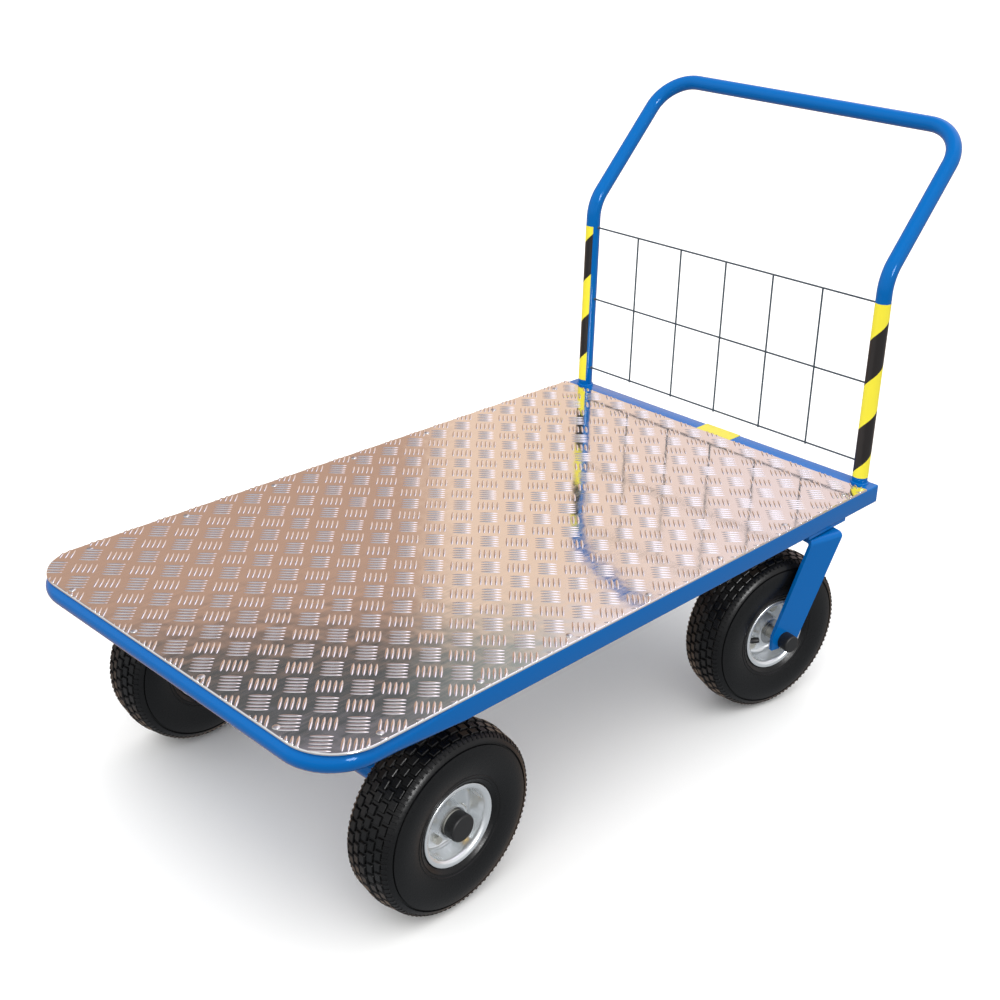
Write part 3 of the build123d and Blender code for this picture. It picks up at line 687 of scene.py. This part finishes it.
angle = add(tree, "ShaderNodeCombineXYZ", {}, {"Z": size["Turn"]})
turned = add(tree, "FunctionNodeEulerToRotation", {}, {"Euler": angle.outputs[0]})
groups = add(
    tree,
    "GeometryNodeInstanceOnPoints",
    {},
    {
        "Points": placed.outputs["Geometry"],
        "Instance": group.outputs["Instances"],
        "Rotation": turned.outputs["Rotation"],
    },
)
close_tree(tree, size, out, groups.outputs["Instances"])

# %% [markdown]
# The sheet was cut from a larger one, so the pattern runs off its edges. Bars are cut and closed along
# the plate's outline: its straight edges, and a fan of tangents round each front corner. Each lattice has
# a name, its columns, its rows and the turn of its bars in degrees.

# %% Tread bars on the deck
BAR_LENGTH, BAR_WIDTH, BAR_DEPTH, BAR_SUNK = 31 * MM, 5.2 * MM, 1.9 * MM, 0.8 * MM
BAR_SPACING, BARS = 7.2 * MM, 5
PITCH_ALONG, PITCH_ACROSS = 54.87 * MM, 57.4 * MM
TREAD_MIDDLE = (136.0 * MM, -6.2 * MM)
LATTICES = (("tread_bars_across", 23, 13, 135), ("tread_bars_along", 24, 14, 45))
EDGE_MARGIN = 0.7 * MM
CORNER_CUTS = 8
plate_low, plate_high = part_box("deck_plate")
corner = FRAME_BEND + FRAME_TUBE / 2 - (tube_x + FRAME_TUBE / 2 - plate_high.x)


def trim(mesh):
    """Cut the bars along the plate's outline and close the cuts."""
    cuts = [(plate_low, Vector((-1, 0, 0))), (plate_low, Vector((0, -1, 0)))]
    cuts += [(plate_high, Vector((1, 0, 0))), (plate_high, Vector((0, 1, 0)))]
    for side in (-1, 1):
        middle = Vector((plate_high.x - corner, side * (plate_high.y - corner), 0))
        for i in range(1, CORNER_CUTS):
            turn = pi / 2 * i / CORNER_CUTS
            way = Vector((cos(turn), side * sin(turn), 0))
            cuts.append((middle + way * corner, way))
    shape = bmesh.new()
    shape.from_mesh(mesh)
    for point, way in cuts:
        everything = shape.verts[:] + shape.edges[:] + shape.faces[:]
        edge = point - way * EDGE_MARGIN
        cut = bmesh.ops.bisect_plane(shape, geom=everything, plane_co=edge, plane_no=way, clear_outer=True)
        rims = [e for e in cut["geom_cut"] if isinstance(e, bmesh.types.BMEdge)]
        bmesh.ops.holes_fill(shape, edges=rims)
    shape.to_mesh(mesh)
    shape.free()


for name, columns, rows, turn in LATTICES:
    sizes = {
        "Bar": (BAR_DEPTH, BAR_WIDTH / 2, BAR_LENGTH / 2),
        "Bar spacing": BAR_SPACING,
        "Bars": BARS,
        "Pitch along": PITCH_ALONG,
        "Pitch across": PITCH_ACROSS,
        "Columns": columns,
        "Rows": rows,
        "Middle": (*TREAD_MIDDLE, plate_high.z - BAR_SUNK),
        "Turn": radians(turn),
        "Material": bright_aluminium,
    }
    bars = grow(name, bpy.data.node_groups["five_bar_tread"], sizes)
    trim(bars.data)
    bars.data.shade_smooth()
    settle(bars, "frame", "tread_plate")
    print(name, "keeps", len(bars.data.polygons), "faces")

# %% [markdown]
# The plate is held by blind rivets along its edges. In the CAD part their heads are flush; the real heads
# are low domes. One dome, on a point for each rivet, makes all eighteen.

# %% Rivet heads
RIVET_HEAD, RIVET_RISE = 10 * MM, 1.8 * MM
RIVET_FROM_FRONT, RIVET_FROM_BAR, RIVET_FROM_SIDE = 94 * MM, 41 * MM, 104 * MM
RIVETS_PER_SIDE, RIVETS_IN_FRONT = 7, 4
tree, size, out = geometry_tree(
    "domes_on_points", {"Points": "Geometry", "Dome": "Vector", "Material": "Material"}
)
ball = add(tree, "GeometryNodeMeshUVSphere", {}, {"Segments": 20, "Rings": 12, "Radius": 1.0})
dome = add(tree, "GeometryNodeTransform", {}, {"Geometry": ball.outputs["Mesh"], "Scale": size["Dome"]})
heads = add(
    tree,
    "GeometryNodeInstanceOnPoints",
    {},
    {"Points": size["Points"], "Instance": dome.outputs["Geometry"]},
)
close_tree(tree, size, out, heads.outputs["Instances"])

side_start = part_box("rear_bar")[1].x + RIVET_FROM_BAR
side_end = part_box("front_tube")[1].x - RIVET_FROM_FRONT
side_xs = np.linspace(side_start, side_end, RIVETS_PER_SIDE)
front_ys = np.linspace(plate_low.y + RIVET_FROM_SIDE, plate_high.y - RIVET_FROM_SIDE, RIVETS_IN_FRONT)
rivet_points = [(x, side * tube_y, plate_high.z) for x in side_xs for side in (-1, 1)]
rivet_points += [(tube_x, y, plate_high.z) for y in front_ys]
dome_size = (RIVET_HEAD / 2, RIVET_HEAD / 2, RIVET_RISE)
rivets = grow("rivet_domes", tree, {"Dome": dome_size, "Material": rivet_aluminium}, rivet_points)
rivets.data.shade_smooth()
settle(rivets, "frame", "rivet")

# %% [markdown]
# A strip of hazard tape runs up the front and outer side of each upright and leaves the inner side bare.
# The film is a curved grid with its UV map in metres, measured from where the bands were lined up, and a
# little thickness. Its start and the direction that its bands were lined up to face are degrees round the
# tube.

# %% Hazard tape
TAPE_LIFT, TAPE_THICKNESS = 0.02 * MM, 0.3 * MM
TAPE_WIDTH, TAPE_LENGTH, TAPE_FOOT = 50 * MM, 290 * MM, 11 * MM
TAPE_START = 43
TAPE_STEPS = 36
BAND_LEFT, BAND_RIGHT = 439 * MM, 471 * MM
FACING_LEFT, FACING_RIGHT = 29, 41
film_radius = HANDLE_TUBE / 2 + TAPE_LIFT
film_arc = TAPE_WIDTH / film_radius
tape_low = frame_top + TAPE_FOOT
tape_shape = bmesh.new()
tape_uv = tape_shape.loops.layers.uv.new("tape")
for side, band, facing in ((1, BAND_LEFT, FACING_LEFT), (-1, BAND_RIGHT, FACING_RIGHT)):
    rings = []
    for i in range(TAPE_STEPS + 1):
        turn = side * (film_arc * i / TAPE_STEPS - radians(TAPE_START))
        way = Vector((cos(turn), sin(turn), 0))
        foot = Vector((upright_x, side * upright_y, 0))
        column = []
        for radius in (film_radius, film_radius + TAPE_THICKNESS):
            for z in (tape_low, tape_low + TAPE_LENGTH):
                column.append(tape_shape.verts.new(foot + way * radius + Vector((0, 0, z))))
        rings.append((column, film_radius * (turn - radians(facing))))
    quads = []
    for (a, u0), (b, u1) in zip(rings, rings[1:]):
        quads += [
            ((a[2], b[2], b[3], a[3]), (u0, u1, u1, u0)),
            ((b[0], a[0], a[1], b[1]), (u1, u0, u0, u1)),
            ((a[0], b[0], b[2], a[2]), (u0, u1, u1, u0)),
            ((a[3], b[3], b[1], a[1]), (u0, u1, u1, u0)),
        ]
    for (ring, u), order in ((rings[0], (0, 2, 3, 1)), (rings[-1], (2, 0, 1, 3))):
        quads.append((tuple(ring[i] for i in order), (u,) * 4))
    for corners, across in quads:
        face = tape_shape.faces.new(corners)
        for loop, u in zip(face.loops, across):
            loop[tape_uv].uv = (u, loop.vert.co.z - band)
bmesh.ops.recalc_face_normals(tape_shape, faces=tape_shape.faces)
tape = keep(tape_shape, "hazard_tape_strips", hazard_film)
smooth(tape)
settle(tape, "frame", "hazard_tape", "hazard_tapes")
print("tape", [round(v, 4) for v in tape.dimensions])

# %% [markdown]
# The tyres have a block tread. Each row of blocks goes round the wheel at its own offset, and rows are
# staggered so that a gap never runs straight across. A row is one block set on points round a circle by a
# tree with the row's count, radius, offset and tilt.

# %% Tyre row tree
tree, size, out = geometry_tree(
    "row_round_a_wheel",
    {
        "Block": "Object",
        "Count": "Int",
        "Radius": "Float",
        "Offset": "Float",
        "Phase": "Float",
        "Tilt": "Float",
        "Material": "Material",
    },
)
index = add(tree, "GeometryNodeInputIndex", {}, {})
place = add(tree, "ShaderNodeMath", {"operation": "ADD"}, {0: index.outputs[0], 1: size["Phase"]})
share = add(tree, "ShaderNodeMath", {"operation": "DIVIDE"}, {0: place.outputs[0], 1: size["Count"]})
angle = add(tree, "ShaderNodeMath", {"operation": "MULTIPLY"}, {0: share.outputs[0], 1: 2 * pi})
circle = []
for operation in ("SINE", "COSINE"):
    wave = add(tree, "ShaderNodeMath", {"operation": operation}, {0: angle.outputs[0]})
    reach = {0: wave.outputs[0], 1: size["Radius"]}
    circle.append(add(tree, "ShaderNodeMath", {"operation": "MULTIPLY"}, reach))
spot = add(
    tree,
    "ShaderNodeCombineXYZ",
    {},
    {"X": circle[0].outputs[0], "Y": size["Offset"], "Z": circle[1].outputs[0]},
)
points = add(tree, "GeometryNodePoints", {}, {"Count": size["Count"], "Position": spot.outputs[0]})
lean = add(tree, "ShaderNodeCombineXYZ", {}, {"X": size["Tilt"], "Y": angle.outputs[0]})
turned = add(tree, "FunctionNodeEulerToRotation", {}, {"Euler": lean.outputs[0]})
shape_in = add(tree, "GeometryNodeObjectInfo", {"transform_space": "ORIGINAL"}, {"Object": size["Block"]})
blocks = add(
    tree,
    "GeometryNodeInstanceOnPoints",
    {},
    {
        "Points": points.outputs[0],
        "Instance": shape_in.outputs["Geometry"],
        "Rotation": turned.outputs["Rotation"],
    },
)
close_tree(tree, size, out, blocks.outputs["Instances"])

# %% [markdown]
# Under the blocks is the carcass, a closed section turned round the axle: a crown, a bulging sidewall, a
# moulded groove below the shoulder and thin ribs beside the rim. The section is listed once for one side,
# as radius and offset in millimetres, and mirrored.

# %% Tyre carcass
TREAD_RADIUS, BLOCK_HEIGHT, CROWN_DROP, TREAD_HALF = 130.0, 2.6, 5.0, 35.0
WALL_RADIUS, WALL_Y = 95.5, 42.5
SHOULDER_RADIUS, SHOULDER_Y = 125.0, 35.0
BEAD_RADIUS, BEAD_Y = 60.6, 35.4
BEAD_SEAT = [(54.0, 29.0), (58.2, 32.6)]
RIM_RIBS, RIM_RIB_RISE = (65.0, 70.0), 0.8
RIM_RIB_FOOT, RIM_RIB_TOP = 1.1, 0.5
WALL_START, WALL_END, WALL_POINTS = 74.0, 110.5, 10
GROOVE_RADIUS, GROOVE_DEPTH = 113.5, 2.0
GROOVE_MOUTH, GROOVE_FLOOR = 1.4, 0.8
WALL_TOP = 117.0
SHOULDER = [(120.4, 36.1), (123.0, 33.5), (124.7, 30.4)]
CROWN_OFFSETS = (29.8, 22.0, 11.0, 0.0)
TURN_STEPS = 96
CARCASS_SMOOTH_BELOW = radians(40)


def wall(radius):
    """How far the sidewall stands out at a radius."""
    end, y = (SHOULDER_RADIUS, SHOULDER_Y) if radius > WALL_RADIUS else (BEAD_RADIUS, BEAD_Y)
    return WALL_Y - (WALL_Y - y) * ((radius - WALL_RADIUS) / (end - WALL_RADIUS)) ** 2


def crown(y):
    """The tread's outer radius at an offset from the wheel's middle."""
    return TREAD_RADIUS - CROWN_DROP * abs(y) / TREAD_HALF


def ridge(radius, foot, top, rise):
    """Four points of the sidewall that rise to a rib, or sink to a groove where the rise is below zero."""
    steps = ((-foot, 0), (-top, rise), (top, rise), (foot, 0))
    return [(radius + step, wall(radius + step) + lift) for step, lift in steps]


section = [*BEAD_SEAT, (BEAD_RADIUS, BEAD_Y)]
for rib in RIM_RIBS:
    section += ridge(rib, RIM_RIB_FOOT, RIM_RIB_TOP, RIM_RIB_RISE)
section += [(r, wall(r)) for r in np.linspace(WALL_START, WALL_END, WALL_POINTS)]
section += ridge(GROOVE_RADIUS, GROOVE_MOUTH, GROOVE_FLOOR, -GROOVE_DEPTH)
section += [(WALL_TOP, wall(WALL_TOP)), *SHOULDER]
section += [(crown(y) - BLOCK_HEIGHT, y) for y in CROWN_OFFSETS]
section += [(r, -y) for r, y in reversed(section[:-1])]
carcass_shape = bmesh.new()
turns = []
for i in range(TURN_STEPS):
    a = 2 * pi * i / TURN_STEPS
    turns.append([carcass_shape.verts.new(Vector((r * sin(a), y, r * cos(a))) * MM) for r, y in section])
for ring, after in zip(turns, turns[1:] + turns[:1]):
    for i in range(len(section)):
        j = (i + 1) % len(section)
        carcass_shape.faces.new((ring[i], after[i], after[j], ring[j]))
bmesh.ops.recalc_face_normals(carcass_shape, faces=carcass_shape.faces)
carcass = keep(carcass_shape, "tyre_carcass", tyre_rubber)
smooth(carcass, CARCASS_SMOOTH_BELOW)
print("carcass", [round(v, 4) for v in carcass.dimensions])

# %% [markdown]
# Two kinds of block make the tread: low ones, nearly square, in five staggered rows, and slim ribs that
# wrap each shoulder. Blocks taper upward, as they must to leave the mould. Each row is shifted by half a
# pitch from the next. Lengths are in millimetres and slopes in degrees.

# %% One tyre
BLOCK_SINK, TAPER = 1.5, 0.86
BLOCK_LENGTH, BLOCK_WIDTH, BLOCK_ROUND = 14.0, 10.4, 0.8
RIB_LENGTH, RIB_WIDTH, RIB_HEIGHT, RIB_ROUND = 3.6, 8.6, 1.0, 0.4
BLOCKS_ROUND, ROW_SPACING, CROWN_SLOPE = 48, 12, 8
RIBS_ROUND, RIB_RADIUS, RIB_OFFSET, RIB_PHASE, SHOULDER_SLOPE = 96, 122.7, 33.3, 0.25, 36


def tread_block(name, length, width, height, rounding):
    """A tapered block that stands on its base, with its lower part sunk into the carcass."""
    low = (-length / 2 * MM, -width / 2 * MM, -BLOCK_SINK * MM)
    high = (length / 2 * MM, width / 2 * MM, height * MM)
    shape = block(low, high, rounding * MM, 1)
    for vertex in shape.verts:
        if vertex.co.z > height / 2 * MM:
            vertex.co.x *= TAPER
            vertex.co.y *= TAPER
    return keep(shape, name, tyre_rubber)


middle_block = tread_block("middle_block", BLOCK_LENGTH, BLOCK_WIDTH, BLOCK_HEIGHT, BLOCK_ROUND)
shoulder_rib = tread_block("shoulder_rib", RIB_LENGTH, RIB_WIDTH, RIB_HEIGHT, RIB_ROUND)
tread_rows = []
for i in (-2, -1, 0, 1, 2):
    y = i * ROW_SPACING
    base = crown(y) - BLOCK_HEIGHT
    tread_rows.append((middle_block, BLOCKS_ROUND, base, y, i / 2, CROWN_SLOPE * np.sign(i)))
for side in (-1, 1):
    slope = side * SHOULDER_SLOPE
    tread_rows.append((shoulder_rib, RIBS_ROUND, RIB_RADIUS, side * RIB_OFFSET, RIB_PHASE, slope))
tyre_parts = [carcass]
for i, (shape_object, count, radius, offset, phase, tilt) in enumerate(tread_rows):
    sizes = {
        "Block": shape_object,
        "Count": count,
        "Radius": radius * MM,
        "Offset": offset * MM,
        "Phase": phase,
        "Tilt": radians(-tilt),
        "Material": tyre_rubber,
    }
    tyre_parts.append(grow(f"row_{i}", bpy.data.node_groups["row_round_a_wheel"], sizes))
tyre_shape = bmesh.new()
for part in tyre_parts:
    tyre_shape.from_mesh(part.data)
tyre_mesh = bpy.data.meshes.new("tyre")
tyre_shape.to_mesh(tyre_mesh)
tyre_shape.free()
tyre_mesh.materials.append(tyre_rubber)
for part in tyre_parts + [middle_block, shoulder_rib]:
    bpy.data.objects.remove(part)
print("one tyre has", len(tyre_mesh.polygons), "faces")

# %% [markdown]
# All four wheels carry the same tyre, set down on each wheel's own axle. The axles come from the joints,
# so the tyres and the valves turn with the right body. A valve stem stands in the outer rim half; its
# brass and its dust cap are turned parts, made from a list of radii along the stem. Which way it points
# is read from the inner tube: only its stem comes so near the axle.

# %% Tyres and valves on the wheels
VALVE_OFFSET, VALVE_ROOT, VALVE_TILT = 11 * MM, 53 * MM, radians(35)
STEM_WITHIN = 46 * MM
BRASS = [(0, 0), (4.2, 0), (4.2, 16), (3.6, 16.5), (3.6, 26.2), (0, 26.2)]
CAP = [(0, 18), (4.6, 18), (4.6, 29), (3.4, 31), (0, 31)]
SPIN_STEPS = 20


def turned_part(name, profile, material, place):
    """A part turned from a list of (radius, height) points, in millimetres, about a place's Z."""
    shape = bmesh.new()
    points = [shape.verts.new((r * MM, 0, z * MM)) for r, z in profile]
    edges = [shape.edges.new(pair) for pair in zip(points, points[1:])]
    about_z = {"cent": (0, 0, 0), "axis": (0, 0, 1), "angle": 2 * pi}
    bmesh.ops.spin(shape, geom=points + edges, steps=SPIN_STEPS, use_merge=True, **about_z)
    bmesh.ops.remove_doubles(shape, verts=shape.verts, dist=MERGE)
    bmesh.ops.recalc_face_normals(shape, faces=shape.faces)
    bmesh.ops.transform(shape, matrix=place, verts=shape.verts)
    part = keep(shape, name, material)
    smooth(part)
    return part


axles = {joint["child"]: joint for joint in frame["joints"] if joint["name"].endswith("_spin")}
for wheel in WHEELS:
    body = f"{wheel}_wheel"
    axle_place = axles[body]["pos_m"]
    outward = Vector(axles[body]["axis"]).normalized()
    if outward.y * axle_place[1] < 0:
        outward.negate()
    forward = outward.cross(Vector((0, 0, 1)))
    turn = Matrix((forward, outward, (0, 0, 1))).transposed().to_4x4()
    hub = Matrix.Translation(axle_place) @ turn
    local = [hub.inverted() @ v.co for v in nodes[f"{wheel}_inner_tube"].data.vertices]
    stem = sum((p for p in local if Vector((p.x, 0, p.z)).length < STEM_WITHIN), Vector())
    around = Vector((stem.x, 0, stem.z)).normalized()
    tyre = bpy.data.objects.new(f"{wheel}_tread_tyre", tyre_mesh.copy())
    scene.collection.objects.link(tyre)
    tyre.data.transform(hub)
    settle(tyre, body, "tyre", f"{wheel}_tyre")
    pointing = -around * cos(VALVE_TILT) + Vector((0, 1, 0)) * sin(VALVE_TILT)
    root = around * VALVE_ROOT + Vector((0, VALVE_OFFSET, 0))
    place = hub @ Matrix.Translation(root) @ pointing.to_track_quat("Z", "Y").to_matrix().to_4x4()
    settle(turned_part(f"{wheel}_valve_brass", BRASS, valve_brass, place), body, "zinc")
    settle(turned_part(f"{wheel}_valve_cap", CAP, cap_plastic, place), body, "black_plastic")
    print(wheel, "axle at", [round(v, 3) for v in axle_place], "valve towards", [round(v, 2) for v in around])

# %% [markdown]
# The handle is welded to the rear bar, and a weld shows as a small rippled fillet under the paint. A bead
# is a ring swept round the joint, with its surface pushed in and out by noise. Each ring is grown flat
# about the origin and then set in its place.

# %% Weld beads
BEAD_SIZE, RIPPLE_SIZE, RIPPLE_DEPTH = 5.2 * MM, 4 * MM, 1.2 * MM
RING_STEPS, BEAD_SIDES = 96, 10
tree, size, out = geometry_tree(
    "weld_ring",
    {
        "Ring radius": "Float",
        "Bead radius": "Float",
        "Ripple size": "Float",
        "Ripple depth": "Float",
        "Material": "Material",
    },
)
ring = add(
    tree,
    "GeometryNodeCurvePrimitiveCircle",
    {"mode": "RADIUS"},
    {"Resolution": RING_STEPS, "Radius": size["Ring radius"]},
)
section = add(
    tree,
    "GeometryNodeCurvePrimitiveCircle",
    {"mode": "RADIUS"},
    {"Resolution": BEAD_SIDES, "Radius": size["Bead radius"]},
)
bead = add(
    tree,
    "GeometryNodeCurveToMesh",
    {},
    {"Curve": ring.outputs["Curve"], "Profile Curve": section.outputs["Curve"]},
)
density = add(tree, "ShaderNodeMath", {"operation": "DIVIDE"}, {0: 1.0, 1: size["Ripple size"]})
ripple = add(tree, "ShaderNodeTexNoise", {}, {"Scale": density.outputs[0], "Detail": 1.0})
middle = add(tree, "ShaderNodeMath", {"operation": "SUBTRACT"}, {0: ripple.outputs["Fac"], 1: 0.5})
push = add(tree, "ShaderNodeMath", {"operation": "MULTIPLY"}, {0: middle.outputs[0], 1: size["Ripple depth"]})
outward = add(tree, "GeometryNodeInputNormal", {}, {})
shift = add(
    tree,
    "ShaderNodeVectorMath",
    {"operation": "SCALE"},
    {0: outward.outputs[0], "Scale": push.outputs[0]},
)
rough = add(
    tree,
    "GeometryNodeSetPosition",
    {},
    {"Geometry": bead.outputs["Mesh"], "Offset": shift.outputs[0]},
)
close_tree(tree, size, out, rough.outputs["Geometry"])

sizes = {
    "Ring radius": HANDLE_TUBE / 2,
    "Bead radius": BEAD_SIZE / 2,
    "Ripple size": RIPPLE_SIZE,
    "Ripple depth": RIPPLE_DEPTH,
    "Material": blue_enamel,
}
welds = bmesh.new()
for side in (-1, 1):
    ring_piece = grow("weld", tree, sizes)
    ring_piece.data.transform(Matrix.Translation((upright_x, side * upright_y, frame_top)))
    welds.from_mesh(ring_piece.data)
    bpy.data.objects.remove(ring_piece)
bmesh.ops.recalc_face_normals(welds, faces=welds.faces)
weld_piece = keep(welds, "weld_beads", blue_enamel)
weld_piece.data.shade_smooth()
settle(weld_piece, "frame", "blue_paint")

# %% [markdown]
# The wire ends are tacked to the uprights with a small blob each. They are the same dome tree as the
# rivets, on the points where the rows of wire meet the tubes. The rows' heights above the frame are in
# millimetres.

# %% Tack welds of the mesh
TACK = (2.6 * MM, 2.2 * MM, 2.6 * MM)
FIRST_ROW, ROW_GAP, WIRE_ROWS = 35, 132, 3
row_heights = [frame_top + (FIRST_ROW + ROW_GAP * i) * MM for i in range(WIRE_ROWS)]
tack_y = upright_y - HANDLE_TUBE / 2
tack_points = [(upright_x, side * tack_y, z) for side in (-1, 1) for z in row_heights]
sizes = {"Dome": TACK, "Material": shaded_wire_tone}
tacks = grow("mesh_tacks", bpy.data.node_groups["domes_on_points"], sizes, tack_points)
tacks.data.shade_smooth()
settle(tacks, "frame", "wire")

# %% [markdown]
# The stage is a pale floor so wide that no edge of it shows. It is left out of bounced and mirrored
# light, so the undersides stay deep and the gloss mirrors the room alone.

# %% Floor
FLOOR_SIZE = 60.0
bpy.ops.mesh.primitive_plane_add(size=FLOOR_SIZE)
floor = bpy.context.object
floor.name = "studio_floor"
floor.data.materials.append(finish("pale_studio_floor", "#FDFDFC", 0.7)[0])
floor.visible_glossy = False
floor.visible_diffuse = False
floor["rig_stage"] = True
print("floor", FLOOR_SIZE, "m")

# %% [markdown]
# The deck is a mirror, so the room behind the cart gives it its tone: a warm wall, a dim ceiling above it
# and a bright window to the right. Only mirrored rays see that room. All other light is white from above
# and dimmer from below. Each pair of numbers is where one tone starts to give way to the next and where
# it has, as a height or as a cosine to a direction of the room.

# %% Room and sky
BEHIND, OVERHEAD = radians(227), radians(58)
WHITE_SKY = (1.25, 1.25, 1.25, 1.0)
WINDOW = (1.4, 1.3, 1.5, 1.0)
WALL_SEAM, WALL_PALE = (-0.01, 0.02), (-0.22, -0.08)
CEILING_SEAM, CEILING_RISE = (-0.06, 0.03), (0.555, 0.6)
CEILING_EDGE = (0.49, 0.515)
CEILING_REACH = (cos(radians(52)), cos(radians(44)))
WINDOW_EDGE = (-0.15, -0.06)
BACK_OF_ROOM = (0.2, 0.5)
GROUND_EDGE, HORIZON = (-0.15, 0.02), (-0.15, 0.15)
world = bpy.data.worlds.new("pale_studio")
world.use_nodes = True
scene.world = world
tree = world.node_tree
where = add(tree, "ShaderNodeTexCoord", {}, {})
up = add(tree, "ShaderNodeSeparateXYZ", {}, {"Vector": where.outputs["Generated"]})


def towards(azimuth, elevation):
    """How far a direction of the room points towards one direction, as a cosine."""
    way = (cos(azimuth) * cos(elevation), sin(azimuth) * cos(elevation), sin(elevation))
    cosine = add(
        tree,
        "ShaderNodeVectorMath",
        {"operation": "DOT_PRODUCT"},
        {0: where.outputs["Generated"], 1: way},
    )
    return cosine.outputs["Value"]


def blend(measure, start, end, before, after):
    """One colour before a measure reaches its start, another after its end, and a soft change between."""
    share = add(tree, "ShaderNodeMapRange", {}, {"Value": measure, "From Min": start, "From Max": end})
    mixed = add(
        tree,
        "ShaderNodeMix",
        {"data_type": "RGBA"},
        {"Factor": share.outputs["Result"], "A": before, "B": after},
    )
    return mixed.outputs["Result"]


behind = towards(BEHIND, 0)
aside = towards(BEHIND + pi / 2, 0)
overhead = towards(BEHIND, OVERHEAD)
height = up.outputs["Z"]
wall_tone = blend(aside, *WALL_SEAM, srgb("#FADCC6"), srgb("#C8A490"))
wall_tone = blend(aside, *WALL_PALE, srgb("#FBE6E4"), wall_tone)
low_ceiling = blend(aside, *CEILING_SEAM, srgb("#A0A9A7"), srgb("#5A5D5F"))
high_ceiling = blend(aside, *CEILING_SEAM, srgb("#D2C8D6"), srgb("#ACA5B2"))
ceiling_tone = blend(height, *CEILING_RISE, low_ceiling, high_ceiling)
ceiling_tone = blend(aside, *WINDOW_EDGE, WINDOW, ceiling_tone)
room = blend(behind, *BACK_OF_ROOM, srgb("#F2F2F4"), wall_tone)
above = blend(height, *CEILING_EDGE, room, ceiling_tone)
room = blend(overhead, *CEILING_REACH, room, above)
ground = blend(behind, *BACK_OF_ROOM, srgb("#AEB2B6"), srgb("#CDB29E"))
room = blend(height, *GROUND_EDGE, ground, room)
sky = blend(height, *HORIZON, srgb("#9A9CA0"), WHITE_SKY)
ray = add(tree, "ShaderNodeLightPath", {}, {})
seen = blend(ray.outputs["Is Camera Ray"], 0, 1, sky, srgb("#FFFFFF"))
seen = blend(ray.outputs["Is Glossy Ray"], 0, 1, seen, room)
tree.links.new(seen, tree.nodes["Background"].inputs["Color"])
tree.nodes["Background"].inputs["Strength"].default_value = 1.0
print("room and sky of", len(tree.nodes), "nodes")

# %% [markdown]
# Two suns finish the light. A broad one adds the soft shadow under the cart and is never mirrored. The
# other stands low on the cart's left and shows only in gloss: it puts the glints on the bends of the
# tubes, on the rims and on the shoulders of the tyres. The Standard view keeps the colours as they were
# written.

# %% Suns
SUN_WAY = Vector((0.45, 0.35, 1.0))
LAMP_AZIMUTH, LAMP_ELEVATION = radians(78), radians(22)


def hang_sun(name, energy, spread, way):
    """A sun that shines from one direction, with a spread that softens it."""
    light = bpy.data.lights.new(name, "SUN")
    light.energy = energy
    light.angle = spread
    sun = bpy.data.objects.new(name, light)
    sun.rotation_euler = way.to_track_quat("Z", "Y").to_euler()
    scene.collection.objects.link(sun)
    print(name, "of strength", energy)
    return sun


lamp_way = Vector((cos(LAMP_AZIMUTH), sin(LAMP_AZIMUTH), sin(LAMP_ELEVATION) / cos(LAMP_ELEVATION)))
hang_sun("soft_sun", 1.0, radians(50), SUN_WAY).visible_glossy = False
hang_sun("side_lamp", 2.0, radians(18), lamp_way).visible_diffuse = False
scene.view_settings.view_transform = "Standard"

# %% [markdown]
# The camera stands in front of the cart's left corner, a little above an adult's chest, and looks down on
# the deck. Its lens and its shift put the cart in the frame as a product picture shows it. Its place is
# in metres and its turn in degrees.

# %% Camera
LENS, SHIFT = 53.07, (-0.0307, -0.0454)
CAMERA_PLACE = (1.48983, 1.39020, 1.29476)
CAMERA_TURN = (66.6266, -1.9248, 133.8697)
camera_data = bpy.data.cameras.new("camera")
camera_data.lens = LENS
camera_data.shift_x, camera_data.shift_y = SHIFT
camera = bpy.data.objects.new("camera", camera_data)
camera.location = CAMERA_PLACE
camera.rotation_euler = [radians(turn) for turn in CAMERA_TURN]
scene.collection.objects.link(camera)
scene.camera = camera
print("camera at", [round(v, 3) for v in camera.location])

# %% [markdown]
# Last, the CAD box and the finished model's box are printed side by side.

# %% Sizes
bpy.context.view_layer.update()
new_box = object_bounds()
sizes = {"cad": [list(corner) for corner in cad_box], "visual": [list(corner) for corner in new_box]}
print("sizes", sizes)
